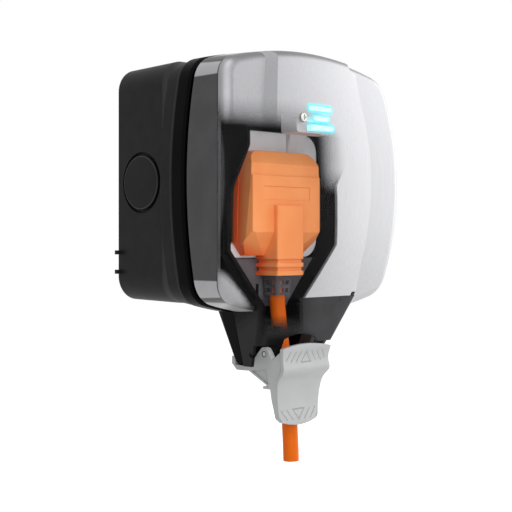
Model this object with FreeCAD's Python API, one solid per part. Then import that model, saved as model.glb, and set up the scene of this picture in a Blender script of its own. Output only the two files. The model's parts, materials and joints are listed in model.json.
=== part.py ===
import FreeCAD, Part
import math
import os

V = FreeCAD.Vector
os.makedirs("parts", exist_ok=True)

# Weatherproof 13 A wall socket with its hinged lid shut over a plug.
# Row frame: millimetres, +X to the right seen from the front, +Z up, wall face at Y = 0.
# The front of the socket faces -Y, so every "depth" below is a distance out from the wall.

# Bowed outlines: the sides and the ends of frame and lid are large arcs
side_bow_radius = 265.0
end_bow_radius = 199.0
bow_centre_z = -0.8

# Back box
box_half_width_rear = 56.0
box_half_width_front = 57.0
box_half_height_rear = 62.5
box_half_height_front = 63.0
box_corner = 13.0
box_wall = 2.5
box_floor = 3.0
box_side_depth = 38.0
collar_start_depth = 44.0
collar_end_depth = 53.0
collar_inset = 1.4
collar_corner = 14.0
seam_groove_width = 1.6
seam_groove_depth = 1.1
frame_screw_x = 44.0
frame_screw_z = 47.0
frame_screw_boss_radius = 4.8
screw_pilot_radius = 1.6
wall_hole_radius = 2.5
wall_hole_spacing_x = 68.0
wall_hole_spacing_z = 88.0
rear_entry_radius = 10.0
rear_entry_z = -30.0
nub_size = 2.2
nub_length = 2.8
nub_upper_z = -36.8
nub_lower_z = -47.2

# Side cable entries, closed by caps
entry_hole_radius = 12.5
entry_recess_radius = 16.0
entry_recess_depth = 1.3
entry_boss_radius = 18.0
entry_boss_height = 2.0
entry_depth = 20.3
cap_flange_radius = 14.2
cap_flange_thickness = 1.5
cap_stem_wall = 1.6
cap_clearance = 0.15
gasket_thickness = 0.5

# Front frame, with the plug chamber and the rear half of the cable chute
frame_half_width = 64.8
frame_half_height = 69.0
collar_half_width = frame_half_width - collar_inset
collar_half_height = frame_half_height - collar_inset
frame_corner = 15.0
frame_wall = 2.5
frame_rear_depth = 53.7
frame_front_depth = 63.0
frame_edge_chamfer = 1.2
web_rear_depth = 55.5
web_front_depth = 58.0
chamber_half_width = 38.7
chamber_top_z = 35.2
chamber_shoulder_z = -35.5
chamber_wall = 2.0
chamber_ledge = 2.4
chamber_ledge_depth = 66.6
chamber_corner = 7.0
chamber_low_depth = 70.0
chamber_high_depth = 84.0
chamber_slope_low_z = -7.5
chamber_slope_high_z = 17.0
channel_half_width = 14.3
channel_rise = 4.5
channel_drop = 15.0
channel_top_z = channel_rise - frame_half_height
channel_bottom_z = -frame_half_height - channel_drop
drain_slot_width = 2.4
drain_slot_length = 11.0
liner_thickness = 0.5
liner_clearance = 0.2

# Cable chute: a funnel that narrows downwards and forwards
chute_rise = 11.0
chute_drop = 26.5
chute_top_z = chute_rise - frame_half_height
chute_bottom_z = -frame_half_height - chute_drop
chute_top_half_width = 32.8
chute_bottom_half_width = 24.3
chute_top_front_half_width = 36.2
chute_bottom_front_half_width = 24.5
chute_top_rear_depth = 48.0
chute_bottom_rear_depth = 58.0
chute_top_front_depth = 91.5
chute_bottom_front_depth = 75.0
chute_front_corner = 4.0
chute_rear_corner = 2.5
chute_wall = 2.2
chute_seam_depth = 64.0
chute_seam_gap = 0.3
chute_lip_z = chute_bottom_z + 11.5
chute_arch_radius = 29.0
chute_arch_top_z = chute_bottom_z + 16.5
chute_notch_top_depth = 75.5
chute_notch_foot_depth = 70.0

# Lid
lid_bulge_radius = 240.0
lid_side_overhang = 2.2
lid_end_inset = 0.4
lid_half_width = frame_half_width + lid_side_overhang
lid_half_height = frame_half_height - lid_end_inset
lid_end_draft = 0.065
lid_end_sag = lid_bulge_radius - (lid_bulge_radius ** 2 - lid_half_height ** 2) ** 0.5
lid_corner = 15.0
lid_wall = 2.2
lid_skin = 1.6
lid_rear_depth = 68.7
lid_face_depth = 95.7
lid_shoulder = 6.0
lid_seam_setback = 5.0
lid_land_width = 9.0
lid_land_thickness = 2.2
panel_height = 4.2
panel_half_width = 35.7
panel_foot_half_width = 40.4
panel_end_z = lid_half_height + 5.4
panel_end_narrowing = 26.9716
panel_bow_radius = (panel_end_z ** 2 + panel_end_narrowing ** 2) / (2 * panel_end_narrowing)
panel_bottom_z = chute_top_z - 1.6
panel_edge_round = 1.2

# Lid hinge, hidden in the shadow gap behind the top of the lid
hinge_depth = 66.0
hinge_z = frame_half_height - 4.1
hinge_pin_radius = 1.1
hinge_running_clearance = 0.05
knuckle_radius = 2.1
knuckle_outer_x = 18.0
knuckle_split_x = 11.8
knuckle_inner_x = 5.0
knuckle_gap = 0.4

# Seals
box_seal_inset = 3.2
box_seal_width = 2.4
lid_seal_inset = 7.0
lid_seal_width = 3.0
seal_rest_gap = 0.3

# Socket face plate and the housing behind it
plate_half_width = 38.3
plate_half_height = 33.75
plate_centre_z = -5.75
plate_corner = 10.0
plate_front_depth = 58.3
plate_clearance = 0.25
flange_half_width = 41.0
flange_top_z = 35.6
flange_bottom_z = -42.0
flange_thickness = 2.2
ear_reach_x = 48.0
ear_half_height = 5.5
ear_screw_x = 44.5
housing_half_width = 35.5
housing_top_z = 34.6
housing_bottom_z = -36.0
housing_wall = 2.0
housing_rear_depth = 30.0

# Pin layout of a 13 A plug: earth pin above, line and neutral below
pin_pitch_x = 22.2
pin_pitch_z = 22.2
earth_pin_z = 2.5
flat_pin_width = 6.35
flat_pin_height = 3.97
flat_pin_length = 17.7
earth_pin_width = 3.97
earth_pin_height = 7.95
earth_pin_length = 22.7
aperture_clearance = 0.35
leaf_thickness = 0.8
leaf_clearance = 0.1
leaf_length = 15.0
shutter_half_width = 17.0
shutter_thickness = 1.6
shutter_spring_radius = 1.6
shutter_spring_wire = 0.35
terminal_size = 8.0
terminal_bore_radius = 1.7
small_screw_radius = 1.5

# Rocker switch, shown pressed in at its foot
rocker_x = 20.4
rocker_pivot_z = 23.7
rocker_pivot_depth = 56.8
rocker_half_width = 6.4
rocker_half_height = 6.0
rocker_face_height = 4.25
rocker_tilt_degrees = 13.5
rocker_clearance = 0.3
rocker_trunnion_radius = 0.9
rocker_surround = 1.8
rocker_stem_radius = 2.6
rocker_stem_length = 8.9
plunger_radius = 1.4
plunger_reach = 12.1
contact_pivot_depth = 44.0
contact_half_length = 8.0
contact_half_width = 2.0
contact_strip_thickness = 0.8
contact_tilt_degrees = 8.0

# Plug
plug_half_width = 26.9
plug_base_half_width = 27.2
plug_top_z = 16.5
plug_bottom_z = -38.3
plug_corner = 8.0
plug_low_cut = 7.0
plug_base_thickness = 4.0
plug_front_depth = 72.3
plug_wall = 2.4
plug_front_wall = 1.7
plug_flank_bevel = 1.5
plug_flank_run = 4.2
plug_panel_step = 0.9
plug_step_z = 3.6
plug_ridge_z = 9.8
plug_foot_z = -26.0
plug_top_taper = 1.6
tongue_half_width = 10.0
tongue_top_z = -12.0
tongue_front_depth = 75.2
neck_bottom_z = -48.8
neck_groove_height = 2.0
neck_groove_pitch = 4.2
neck_groove_depth = 1.1
label_half_width = 17.5
label_height = 7.0
label_z = -5.6
label_depth = 0.4
fuse_radius = 3.15
fuse_length = 25.4
fuse_x = 19.5
fuse_z = -12.0
fuse_depth = 66.15

# Cord and its boot
cord_radius = 4.15
cord_bore_clearance = 0.1
boot_top_half = 5.95
boot_bottom_half = 4.95
boot_corner = 1.6
boot_bottom_z = -59.2
boot_window_width = 2.6
boot_window_height = 2.2
boot_window_rows = (-52.6, -56.8)
cord_tail_top_z = -29.0
clamp_half_width = 7.0
clamp_wall = 1.2
clamp_height = 4.0
clamp_bottom_z = -35.5
cord_depth_at_plug = 64.8
cord_route = [
    (0.0, -64.8, -59.2),
    (0.0, -64.8, -68.0),
    (1.0, -73.4, -120.0),
    (1.3, -73.8, -146.5),
]

# Latch lever
latch_pin_depth = 71.7
latch_pin_z = chute_bottom_z + 6.2
latch_pin_radius = 1.2
latch_boss_radius = 3.6
latch_arm_inner_x = 13.8
latch_arm_outer_x = 16.8
latch_side_gap = 0.3
latch_lug_thickness = 3.2
latch_plate_thickness = 2.2
latch_plate_top_half_width = 18.2
latch_plate_ridge_half_width = 17.6
latch_plate_waist_half_width = 16.4
latch_plate_foot_half_width = 14.6
latch_plate_top_z = latch_pin_z + 3.5
latch_plate_crown = 2.0
latch_plate_foot_z = latch_pin_z - 35.9
latch_web_recess = 0.9

# Power light on the lid: three plain bars
bar_centre_x = -1.5
bar_half_height = 1.25
bar_half_widths = (8.5, 5.6, 8.6)
bar_heights = (36.8, 31.6, 26.9)
bar_proud = 0.25
bar_clearance = 0.1
light_board_half_width = 9.4
light_board_ledge = 1.0
light_board_top_z = 41.0
light_board_bottom_z = 25.4
light_board_thickness = 1.2
light_board_depth = 91.2
light_cover_depth = 85.8
light_cover_wall = 1.2
lid_screw_seat = 97.2
lid_screw_x = -14.8
lid_screw_z = 31.5
lid_screw_head_radius = 2.2


def at(x, depth, z):
    """A point given by its distance out from the wall."""
    return V(x, -depth, z)


def block(x0, x1, d0, d1, z0, z1):
    """A box between two corners, its depths counted out from the wall."""
    return Part.makeBox(x1 - x0, d1 - d0, z1 - z0, at(x0, d1, z0))


def rod_x(x0, x1, depth, z, radius):
    return Part.makeCylinder(radius, x1 - x0, at(x0, depth, z), V(1, 0, 0))


def rod_y(x, z, d0, d1, radius):
    return Part.makeCylinder(radius, d1 - d0, at(x, d0, z), V(0, -1, 0))


def rod_z(x, depth, z0, z1, radius):
    return Part.makeCylinder(radius, z1 - z0, at(x, depth, z0), V(0, 0, 1))


def drop(radius, distance):
    """How far an arc falls away at a distance from its crown."""
    return radius - math.sqrt(radius * radius - distance * distance)


def depth_edges(solid):
    """The straight edges of a prism that run out from the wall."""
    found = []
    for edge in solid.Edges:
        ends = [vertex.Point for vertex in edge.Vertexes]
        if len(ends) == 2:
            run = ends[1] - ends[0]
            if abs(run.y) > 0.99 * run.Length:
                found.append(edge)
    return found


def polygon_face(points):
    return Part.Face(Part.makePolygon(points + [points[0]]))


def front_prism(outline, d0, d1):
    """A prism with an outline of (x, z) points, standing out from the wall."""
    face = polygon_face([at(x, d0, z) for x, z in outline])
    return face.extrude(V(0, d0 - d1, 0))


def side_prism(outline, x0, x1):
    """A prism with an outline of (depth, z) points, running along X."""
    face = polygon_face([at(x0, depth, z) for depth, z in outline])
    return face.extrude(V(x1 - x0, 0, 0))


def level_prism(outline, z0, z1):
    """A prism with an outline of (x, depth) points, standing up."""
    face = polygon_face([at(x, depth, z0) for x, depth in outline])
    return face.extrude(V(0, 0, z1 - z0))


def offset_outline(points, distance):
    """Move every side of a clockwise (x, z) polygon outwards by a distance."""
    lines = []
    count = len(points)
    for i in range(count):
        (xa, za), (xb, zb) = points[i], points[(i + 1) % count]
        length = math.hypot(xb - xa, zb - za)
        nx, nz = -(zb - za) / length, (xb - xa) / length
        lines.append((nx, nz, nx * xa + nz * za + distance))
    moved = []
    for i in range(count):
        (n1x, n1z, c1), (n2x, n2z, c2) = lines[i - 1], lines[i]
        det = n1x * n2z - n1z * n2x
        moved.append(((c1 * n2z - n1z * c2) / det, (n1x * c2 - c1 * n2x) / det))
    return moved


def rounded_prism(half_width, half_height, corner, d0, d1, centre_z=0.0):
    solid = block(-half_width, half_width, d0, d1, centre_z - half_height, centre_z + half_height)
    return solid.makeFillet(corner, depth_edges(solid))


def bowed_wire(half_width, half_height, inset, depth):
    """An outline with four bowed sides and sharp corners."""
    width = half_width - inset
    height = half_height - inset
    side_radius = side_bow_radius - inset
    end_radius = end_bow_radius - inset
    x, z = width, height
    for _ in range(12):
        x = width - drop(side_radius, z)
        z = height - drop(end_radius, x)
    middle = bow_centre_z
    top_left, top_right = at(-x, depth, middle + z), at(x, depth, middle + z)
    foot_right, foot_left = at(x, depth, middle - z), at(-x, depth, middle - z)
    arcs = [
        Part.Arc(top_left, at(0, depth, middle + height), top_right),
        Part.Arc(top_right, at(width, depth, middle), foot_right),
        Part.Arc(foot_right, at(0, depth, middle - height), foot_left),
        Part.Arc(foot_left, at(-width, depth, middle), top_left),
    ]
    return Part.Wire([arc.toShape() for arc in arcs])


def bowed_prism(half_width, half_height, corner, d0, d1, inset=0.0, end_draft=0.0):
    """A prism whose outline has four bowed sides and rounded corners."""
    rear = bowed_wire(half_width, half_height, inset, d0)
    if end_draft:
        front = bowed_wire(half_width, half_height - end_draft * (d1 - d0), inset, d1)
        solid = Part.makeLoft([rear, front], True, True)
    else:
        solid = Part.Face(rear).extrude(V(0, d0 - d1, 0))
    return solid.makeFillet(corner - inset, depth_edges(solid))


def outline_at(solid, depth):
    """The outline of a prism's flat face at a depth."""
    for face in solid.Faces:
        if face.BoundBox.YLength < 0.001 and abs(face.BoundBox.YMin + depth) < 0.001:
            return face.OuterWire


def join(first, *others):
    """Fuse touching solids into one."""
    return first.fuse(list(others)).removeSplitter()


def mirrored(shape):
    return shape.mirror(V(0, 0, 0), V(1, 0, 0))


def write(node, *solids):
    """Write one node, alone or as a group of separate solids."""
    shape = solids[0] if len(solids) == 1 else Part.makeCompound(list(solids))
    if not shape.isValid():
        print("not valid:", node)
    print(node, "solids", len(shape.Solids), "volume", round(shape.Volume, 1))
    shape.exportStep("parts/" + node + ".step")


# Back box and its entries

def box_form(inset, rear_depth, front_depth):
    """The outside of the box, or its inside where the inset is the wall."""
    foot = rounded_prism(box_half_width_rear - inset, box_half_height_rear - inset,
                         box_corner - inset, rear_depth, rear_depth + 1)
    side = rounded_prism(box_half_width_front - inset, box_half_height_front - inset,
                         box_corner - inset, box_side_depth, box_side_depth + 1)
    collar = bowed_prism(collar_half_width, collar_half_height, collar_corner,
                         collar_start_depth, front_depth, inset)
    side_outline = outline_at(side, box_side_depth)
    lower = Part.makeLoft([outline_at(foot, rear_depth), side_outline], True, True)
    flare = Part.makeLoft([side_outline, outline_at(collar, collar_start_depth)], True, True)
    return join(lower, flare, collar)


def side_face_x(depth):
    """Half-width of the drafted box side at a depth."""
    gain = (box_half_width_front - box_half_width_rear) / box_side_depth
    return box_half_width_rear + gain * depth


recess_floor_x = side_face_x(entry_depth) - entry_recess_depth


def back_box():
    shell = box_form(0.0, 0.0, collar_end_depth)
    groove = bowed_ring(collar_half_width, collar_half_height, collar_corner, -2.0,
                        2.0 + seam_groove_depth, frame_rear_depth - seam_groove_width,
                        frame_rear_depth)
    shell = shell.cut(groove)
    hollow = box_form(box_wall, box_floor, collar_end_depth + 1)
    boss_top = web_rear_depth
    box = shell.cut(hollow)
    bosses = []
    for sx in (-1, 1):
        for sz in (-1, 1):
            x, z = sx * frame_screw_x, sz * frame_screw_z
            reach = sx * (box_half_width_rear - box_wall / 2)
            bosses.append(rod_y(x, z, box_floor / 2, boss_top, frame_screw_boss_radius))
            bosses.append(block(min(x, reach), max(x, reach), box_floor / 2, box_side_depth,
                                z - 1, z + 1))
    inner_x = box_half_width_rear - box_wall - entry_boss_height
    for sx in (-1, 1):
        ring = rod_x(inner_x, box_half_width_rear - box_wall / 2, entry_depth, 0, entry_boss_radius)
        bosses.append(ring if sx > 0 else mirrored(ring))
    box = join(box, *bosses)
    for sx in (-1, 1):
        hole = rod_x(inner_x - 1, side_face_x(entry_depth) + 2, entry_depth, 0, entry_hole_radius)
        recess = rod_x(recess_floor_x, side_face_x(entry_depth) + 2, entry_depth, 0,
                       entry_recess_radius)
        cutter = hole.fuse(recess)
        box = box.cut(cutter if sx > 0 else mirrored(cutter))
        for sz in (-1, 1):
            x, z = sx * frame_screw_x, sz * frame_screw_z
            box = box.cut(rod_y(x, z, boss_top - 16, boss_top + 1, screw_pilot_radius))
            x, z = sx * wall_hole_spacing_x / 2, sz * wall_hole_spacing_z / 2
            box = box.cut(rod_y(x, z, -1, box_floor + 1, wall_hole_radius))
    box = box.cut(rod_y(0, rear_entry_z, -1, box_floor + 1, rear_entry_radius))
    nubs = []
    for z in (nub_upper_z, nub_lower_z):
        nub = block(box_half_width_rear - 1, box_half_width_rear + nub_length, 0.3, 0.3 + nub_size,
                    z - nub_size / 2, z + nub_size / 2)
        nubs += [nub, mirrored(nub)]
    return join(box, *nubs)


def entry_cap():
    """Cap of the right-hand entry: a flange in the recess and a stem in the hole."""
    flange_x = recess_floor_x + gasket_thickness
    flange = rod_x(flange_x, flange_x + cap_flange_thickness, entry_depth, 0, cap_flange_radius)
    rim = flange.Edges[0] if flange.Edges[0].BoundBox.XMin > flange_x + 0.1 else flange.Edges[2]
    flange = flange.makeFillet(0.6, [rim])
    stem_radius = entry_hole_radius - cap_clearance
    inner_x = box_half_width_rear - box_wall - entry_boss_height - 1
    stem = rod_x(inner_x, flange_x + 0.5, entry_depth, 0, stem_radius)
    bore = rod_x(inner_x - 1, flange_x, entry_depth, 0, stem_radius - cap_stem_wall)
    return join(flange, stem).cut(bore)


def entry_gasket():
    ring = rod_x(recess_floor_x, recess_floor_x + gasket_thickness, entry_depth, 0,
                 cap_flange_radius - 0.4)
    return ring.cut(rod_x(recess_floor_x - 1, recess_floor_x + 2, entry_depth, 0,
                          entry_hole_radius + 0.1))


def bowed_ring(half_width, half_height, corner, inset, width, d0, d1):
    outer = bowed_prism(half_width, half_height, corner, d0, d1, inset)
    inner = bowed_prism(half_width, half_height, corner, d0 - 1, d1 + 1, inset + width)
    return outer.cut(inner)


# Cable chute

def from_pin(outline):
    """Points given as distances in front of the latch pin and above it, as depth and height."""
    return [(latch_pin_depth + ahead, latch_pin_z + up) for ahead, up in outline]


def chute_outline(z, inset):
    """The funnel's level section at a height, as a closed wire."""
    share = (chute_top_z - z) / (chute_top_z - chute_bottom_z)

    def between(top, bottom):
        return top + share * (bottom - top)

    back = between(chute_top_half_width, chute_bottom_half_width) - inset
    wide = between(chute_top_front_half_width, chute_bottom_front_half_width) - inset
    rear = between(chute_top_rear_depth, chute_bottom_rear_depth) + inset
    front = between(chute_top_front_depth, chute_bottom_front_depth) - inset
    lean = (wide - back) / (front - rear)
    rf = chute_front_corner - inset / 2
    rr = chute_rear_corner - inset / 2
    k = 1 - math.sqrt(0.5)
    b1 = back + lean * rr
    w1 = wide - lean * rf
    right = [
        Part.LineSegment(at(b1, rear + rr, z), at(w1, front - rf, z)),
        Part.Arc(at(w1, front - rf, z), at(wide - rf * k, front - rf * k, z),
                 at(wide - rf, front, z)),
    ]
    left = [
        Part.Arc(at(rf - wide, front, z), at(rf * k - wide, front - rf * k, z),
                 at(-w1, front - rf, z)),
        Part.LineSegment(at(-w1, front - rf, z), at(-b1, rear + rr, z)),
    ]
    rear_left = Part.Arc(at(-b1, rear + rr, z), at(rr * k - back, rear + rr * k, z),
                         at(rr - back, rear, z))
    rear_right = Part.Arc(at(back - rr, rear, z), at(back - rr * k, rear + rr * k, z),
                          at(b1, rear + rr, z))
    rear_line = Part.LineSegment(at(rr - back, rear, z), at(back - rr, rear, z))
    front_line = Part.LineSegment(at(wide - rf, front, z), at(rf - wide, front, z))
    edges = [rear_line, rear_right] + right + [front_line] + left + [rear_left]
    return Part.Wire([edge.toShape() for edge in edges])


def chute_form(inset, top_z, bottom_z):
    return Part.makeLoft([chute_outline(top_z, inset), chute_outline(bottom_z, inset)], True, True)


far = 200.0


def rear_chute():
    """The half of the funnel that stands on the frame, behind the seam."""
    outer = chute_form(0.0, chute_top_z, chute_bottom_z)
    outer = outer.cut(block(-far, far, chute_seam_depth, far, -far, far))
    return outer.cut(bowed_prism(collar_half_width, collar_half_height, collar_corner,
                                 collar_start_depth - 8, frame_rear_depth, -0.3))


def chute_cavity():
    """The space inside the funnel, kept in front of the frame's web near the box."""
    inner = chute_form(chute_wall, chute_top_z, chute_bottom_z - 2)
    roof_z = -frame_half_height - chute_wall
    return inner.cut(block(-far, far, 0, web_front_depth, roof_z, far))


def chute_foot_cut():
    """What is cut off the rear corner of the foot, seen from the side."""
    foot = chute_bottom_z
    outline = [(52, foot + 7), (57, foot + 7), (58.2, foot + 2.7), (61.5, foot + 0.3),
               (72, foot + 0.3), (72, foot - 3.5), (52, foot - 3.5)]
    return side_prism(outline, -far, far)


# Front frame

def chamber_outline():
    """Clear inside of the plug chamber, clockwise from its top left corner."""
    right = [
        (chamber_half_width, chamber_top_z),
        (chamber_half_width, chamber_shoulder_z),
        (channel_half_width, channel_top_z),
        (channel_half_width, channel_bottom_z - 1),
    ]
    left = [(-x, z) for x, z in reversed(right)]
    return right + left


def chamber_walls():
    inner = chamber_outline()
    outer = offset_outline(inner, chamber_wall)
    start = web_front_depth - 0.5
    walls = front_prism(outer, start, chamber_high_depth)
    corners = [e for e in depth_edges(walls) if e.Vertexes[0].Z > chamber_top_z]
    walls = walls.makeFillet(chamber_corner + chamber_wall, corners)
    hollow = front_prism(inner, start - 1, chamber_high_depth + 1)
    corners = [e for e in depth_edges(hollow) if e.Vertexes[0].Z > chamber_top_z - 1]
    hollow = hollow.makeFillet(chamber_corner, corners)
    slope = [
        (chamber_low_depth, -far),
        (chamber_low_depth, chamber_slope_low_z),
        (chamber_high_depth, chamber_slope_high_z),
        (far, chamber_slope_high_z),
        (far, -far),
    ]
    walls = walls.cut(side_prism(slope, -far, far))
    ledge = front_prism(offset_outline(inner, chamber_wall + chamber_ledge), start,
                        chamber_ledge_depth)
    ledge = ledge.cut(block(-far, far, 0, far, chamber_slope_low_z, far))
    walls = join(walls, ledge).cut(hollow)
    below = block(-far, far, 0, far, -far, channel_bottom_z)
    return walls.cut(below)


def channel_roots():
    """Plates that carry the channel walls back to the chute's rear wall."""
    plate = block(channel_half_width, channel_half_width + chamber_wall, chute_top_rear_depth,
                  chamber_low_depth, channel_bottom_z, -frame_half_height)
    return [plate, mirrored(plate)]


def front_frame():
    band = bowed_prism(frame_half_width, frame_half_height, frame_corner, frame_rear_depth,
                       frame_front_depth)
    front_loop = [e for e in band.Edges if abs(e.BoundBox.YMax + frame_front_depth) < 0.001]
    band = band.makeChamfer(frame_edge_chamfer, front_loop)
    rear_pocket = bowed_prism(frame_half_width, frame_half_height, frame_corner,
                              frame_rear_depth - 1, web_rear_depth, frame_wall)
    front_pocket = bowed_prism(frame_half_width, frame_half_height, frame_corner,
                               web_front_depth, frame_front_depth + 1, frame_wall)
    frame = band.cut(rear_pocket).cut(front_pocket)
    frame = join(frame, rear_chute()).cut(rear_pocket)
    frame = frame.cut(chute_cavity())
    roots = []
    trim = chute_form(chute_wall / 2, chute_top_z, chute_bottom_z)
    for root in channel_roots():
        root = root.common(trim).cut(block(-far, far, 0, web_rear_depth, -frame_half_height - 1, 0))
        roots.append(root)
    bosses = [rod_y(sx * ear_screw_x, plate_centre_z, web_rear_depth, frame_front_depth - 1, 3.4)
              for sx in (-1, 1)]
    frame = join(frame, chamber_walls(), *roots, *bosses)
    opening = plate_form(plate_clearance, web_rear_depth - 1, web_front_depth + 0.01)
    frame = frame.cut(opening)
    for sx in (-1, 1):
        frame = frame.cut(rod_y(sx * ear_screw_x, plate_centre_z, web_rear_depth - 1,
                                frame_front_depth - 2, screw_pilot_radius))
        for sz in (-1, 1):
            frame = frame.cut(rod_y(sx * frame_screw_x, sz * frame_screw_z, web_rear_depth - 1,
                                    web_front_depth + 1, screw_pilot_radius + 0.5))
    slot_x = -0.6 * channel_half_width
    frame = frame.cut(block(slot_x - drain_slot_width / 2, slot_x + drain_slot_width / 2,
                            web_rear_depth - 1, web_front_depth + 1,
                            channel_top_z, channel_top_z + drain_slot_length))
    frame = frame.cut(chute_foot_cut())
    knuckles = []
    for sx in (-1, 1):
        x0, x1 = sorted((sx * knuckle_split_x, sx * knuckle_outer_x))
        lug = block(x0, x1, frame_front_depth - 2, hinge_depth, hinge_z - 1.6, hinge_z + 1.4)
        knuckles += [rod_x(x0, x1, hinge_depth, hinge_z, knuckle_radius), lug]
    frame = join(frame, *knuckles)
    return frame.cut(rod_x(-far, far, hinge_depth, hinge_z, hinge_pin_radius))


def chamber_liner():
    """Thin light-grey floor in the lower end of the plug chamber."""
    outline = offset_outline(chamber_outline(), -liner_clearance)
    floor = front_prism(outline, web_front_depth, web_front_depth + liner_thickness)
    floor = floor.common(block(-far, far, 0, far, channel_top_z - 1,
                               plate_centre_z - plate_half_height - plate_clearance - liner_clearance))
    slot_x = -0.6 * channel_half_width
    return floor.cut(block(slot_x - drain_slot_width / 2, slot_x + drain_slot_width / 2,
                           0, far, channel_top_z - 2, channel_top_z + drain_slot_length))


def screw(x, z, seat_depth, length, radius, head_radius, head_height, into=-1):
    """A pan-head screw along Y whose head sits on a seat; into -1 drives it towards the wall."""
    if into < 0:
        shaft = rod_y(x, z, seat_depth - length, seat_depth + 0.5, radius)
        head = rod_y(x, z, seat_depth, seat_depth + head_height, head_radius)
        slots = [(seat_depth + head_height * 0.5, seat_depth + head_height + 1)]
        crown = seat_depth + head_height
    else:
        shaft = rod_y(x, z, seat_depth - 0.5, seat_depth + length, radius)
        head = rod_y(x, z, seat_depth - head_height, seat_depth, head_radius)
        slots = [(seat_depth - head_height - 1, seat_depth - head_height * 0.5)]
        crown = seat_depth - head_height
    rim = [e for e in head.Edges if e.BoundBox.YLength < 0.001 and abs(e.BoundBox.YMin + crown) < 0.01]
    head = head.makeFillet(head_height * 0.4, rim)
    body = join(head, shaft)
    half = head_radius * 0.62
    thick = head_radius * 0.14
    for d0, d1 in slots:
        body = body.cut(block(x - half, x + half, d0, d1, z - thick, z + thick))
        body = body.cut(block(x - thick, x + thick, d0, d1, z - half, z + half))
    return body


# Socket mechanism

live_x = pin_pitch_x / 2
flat_pin_z = earth_pin_z - pin_pitch_z
plate_rear_depth = web_rear_depth - flange_thickness


def apertures(d0, d1, grow):
    """Three pin openings as cutters."""
    cutters = [block(-earth_pin_width / 2 - grow, earth_pin_width / 2 + grow, d0, d1,
                     earth_pin_z - earth_pin_height / 2 - grow,
                     earth_pin_z + earth_pin_height / 2 + grow)]
    for x in (-live_x, live_x):
        cutters.append(block(x - flat_pin_width / 2 - grow, x + flat_pin_width / 2 + grow, d0, d1,
                             flat_pin_z - flat_pin_height / 2 - grow,
                             flat_pin_z + flat_pin_height / 2 + grow))
    return cutters


def rocker_sweep():
    """Half the height that the tilted rocker needs where it passes the plate's front."""
    tilt = math.radians(rocker_tilt_degrees)
    rise = plate_front_depth - rocker_pivot_depth
    along = (rise + rocker_half_height * math.sin(tilt)) / math.cos(tilt)
    return rocker_half_height * math.cos(tilt) + along * math.sin(tilt) + rocker_clearance


def plate_form(grow, d0, d1):
    """The plate's outline, with the raised tab round the rocker at its top."""
    main = rounded_prism(plate_half_width + grow, plate_half_height + grow, plate_corner + grow,
                         d0, d1, plate_centre_z)
    reach = rocker_half_width + rocker_clearance + rocker_surround + grow
    tab_top = rocker_pivot_z + rocker_sweep() + rocker_surround + grow
    tab = block(rocker_x - reach, rocker_x + reach, d0, d1, plate_centre_z, tab_top)
    corners = [e for e in depth_edges(tab) if e.Vertexes[0].Z > plate_centre_z + 1]
    return join(main, tab.makeFillet(2.0 + grow, corners))


def socket_plate():
    face = plate_form(0.0, web_rear_depth - 1, plate_front_depth)
    rim = [e for e in face.Edges if abs(e.BoundBox.YMax + plate_front_depth) < 0.001]
    face = face.makeFillet(0.8, rim)
    flange_height = (flange_top_z - flange_bottom_z) / 2
    flange = rounded_prism(flange_half_width, flange_height, plate_corner, plate_rear_depth,
                           web_rear_depth, flange_top_z - flange_height)
    ears = block(-ear_reach_x, ear_reach_x, plate_rear_depth, web_rear_depth,
                 plate_centre_z - ear_half_height, plate_centre_z + ear_half_height)
    plate = join(face, flange, ears)
    for cutter in apertures(plate_rear_depth - 1, plate_front_depth + 1, aperture_clearance):
        plate = plate.cut(cutter)
    gap_x = rocker_half_width + rocker_clearance
    gap_z = rocker_sweep()
    plate = plate.cut(block(rocker_x - gap_x, rocker_x + gap_x, plate_rear_depth - 1,
                            plate_front_depth + 1, rocker_pivot_z - gap_z, rocker_pivot_z + gap_z))
    trunnion_gap = rocker_trunnion_radius + hinge_running_clearance
    reach = rocker_half_width + 2.2
    plate = plate.cut(rod_x(rocker_x - reach, rocker_x + reach, rocker_pivot_depth, rocker_pivot_z,
                            trunnion_gap))
    for sx in (-1, 1):
        plate = plate.cut(rod_y(sx * ear_screw_x, plate_centre_z, plate_rear_depth - 1,
                                plate_front_depth, screw_pilot_radius + 0.3))
    return plate


def contact_seats(grow):
    """Slots in the housing floor for the tails of the three contacts."""
    seats = []
    for x, z in ((0, earth_pin_z), (-live_x, flat_pin_z), (live_x, flat_pin_z)):
        seats.append(block(x - 2.5 - grow, x + 2.5 + grow, housing_rear_depth - 1,
                           housing_rear_depth + housing_wall + 1, z - 0.5 - grow, z + 0.5 + grow))
    return seats


def socket_housing():
    housing = block(-housing_half_width, housing_half_width, housing_rear_depth, plate_rear_depth,
                    housing_bottom_z, housing_top_z)
    housing = housing.makeFillet(3.0, depth_edges(housing))
    hollow = block(-housing_half_width + housing_wall, housing_half_width - housing_wall,
                   housing_rear_depth + housing_wall, plate_rear_depth + 1,
                   housing_bottom_z + housing_wall, housing_top_z - housing_wall)
    housing = housing.cut(hollow)
    for seat in contact_seats(0.2):
        housing = housing.cut(seat)
    return housing


floor_depth = housing_rear_depth + housing_wall


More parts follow.
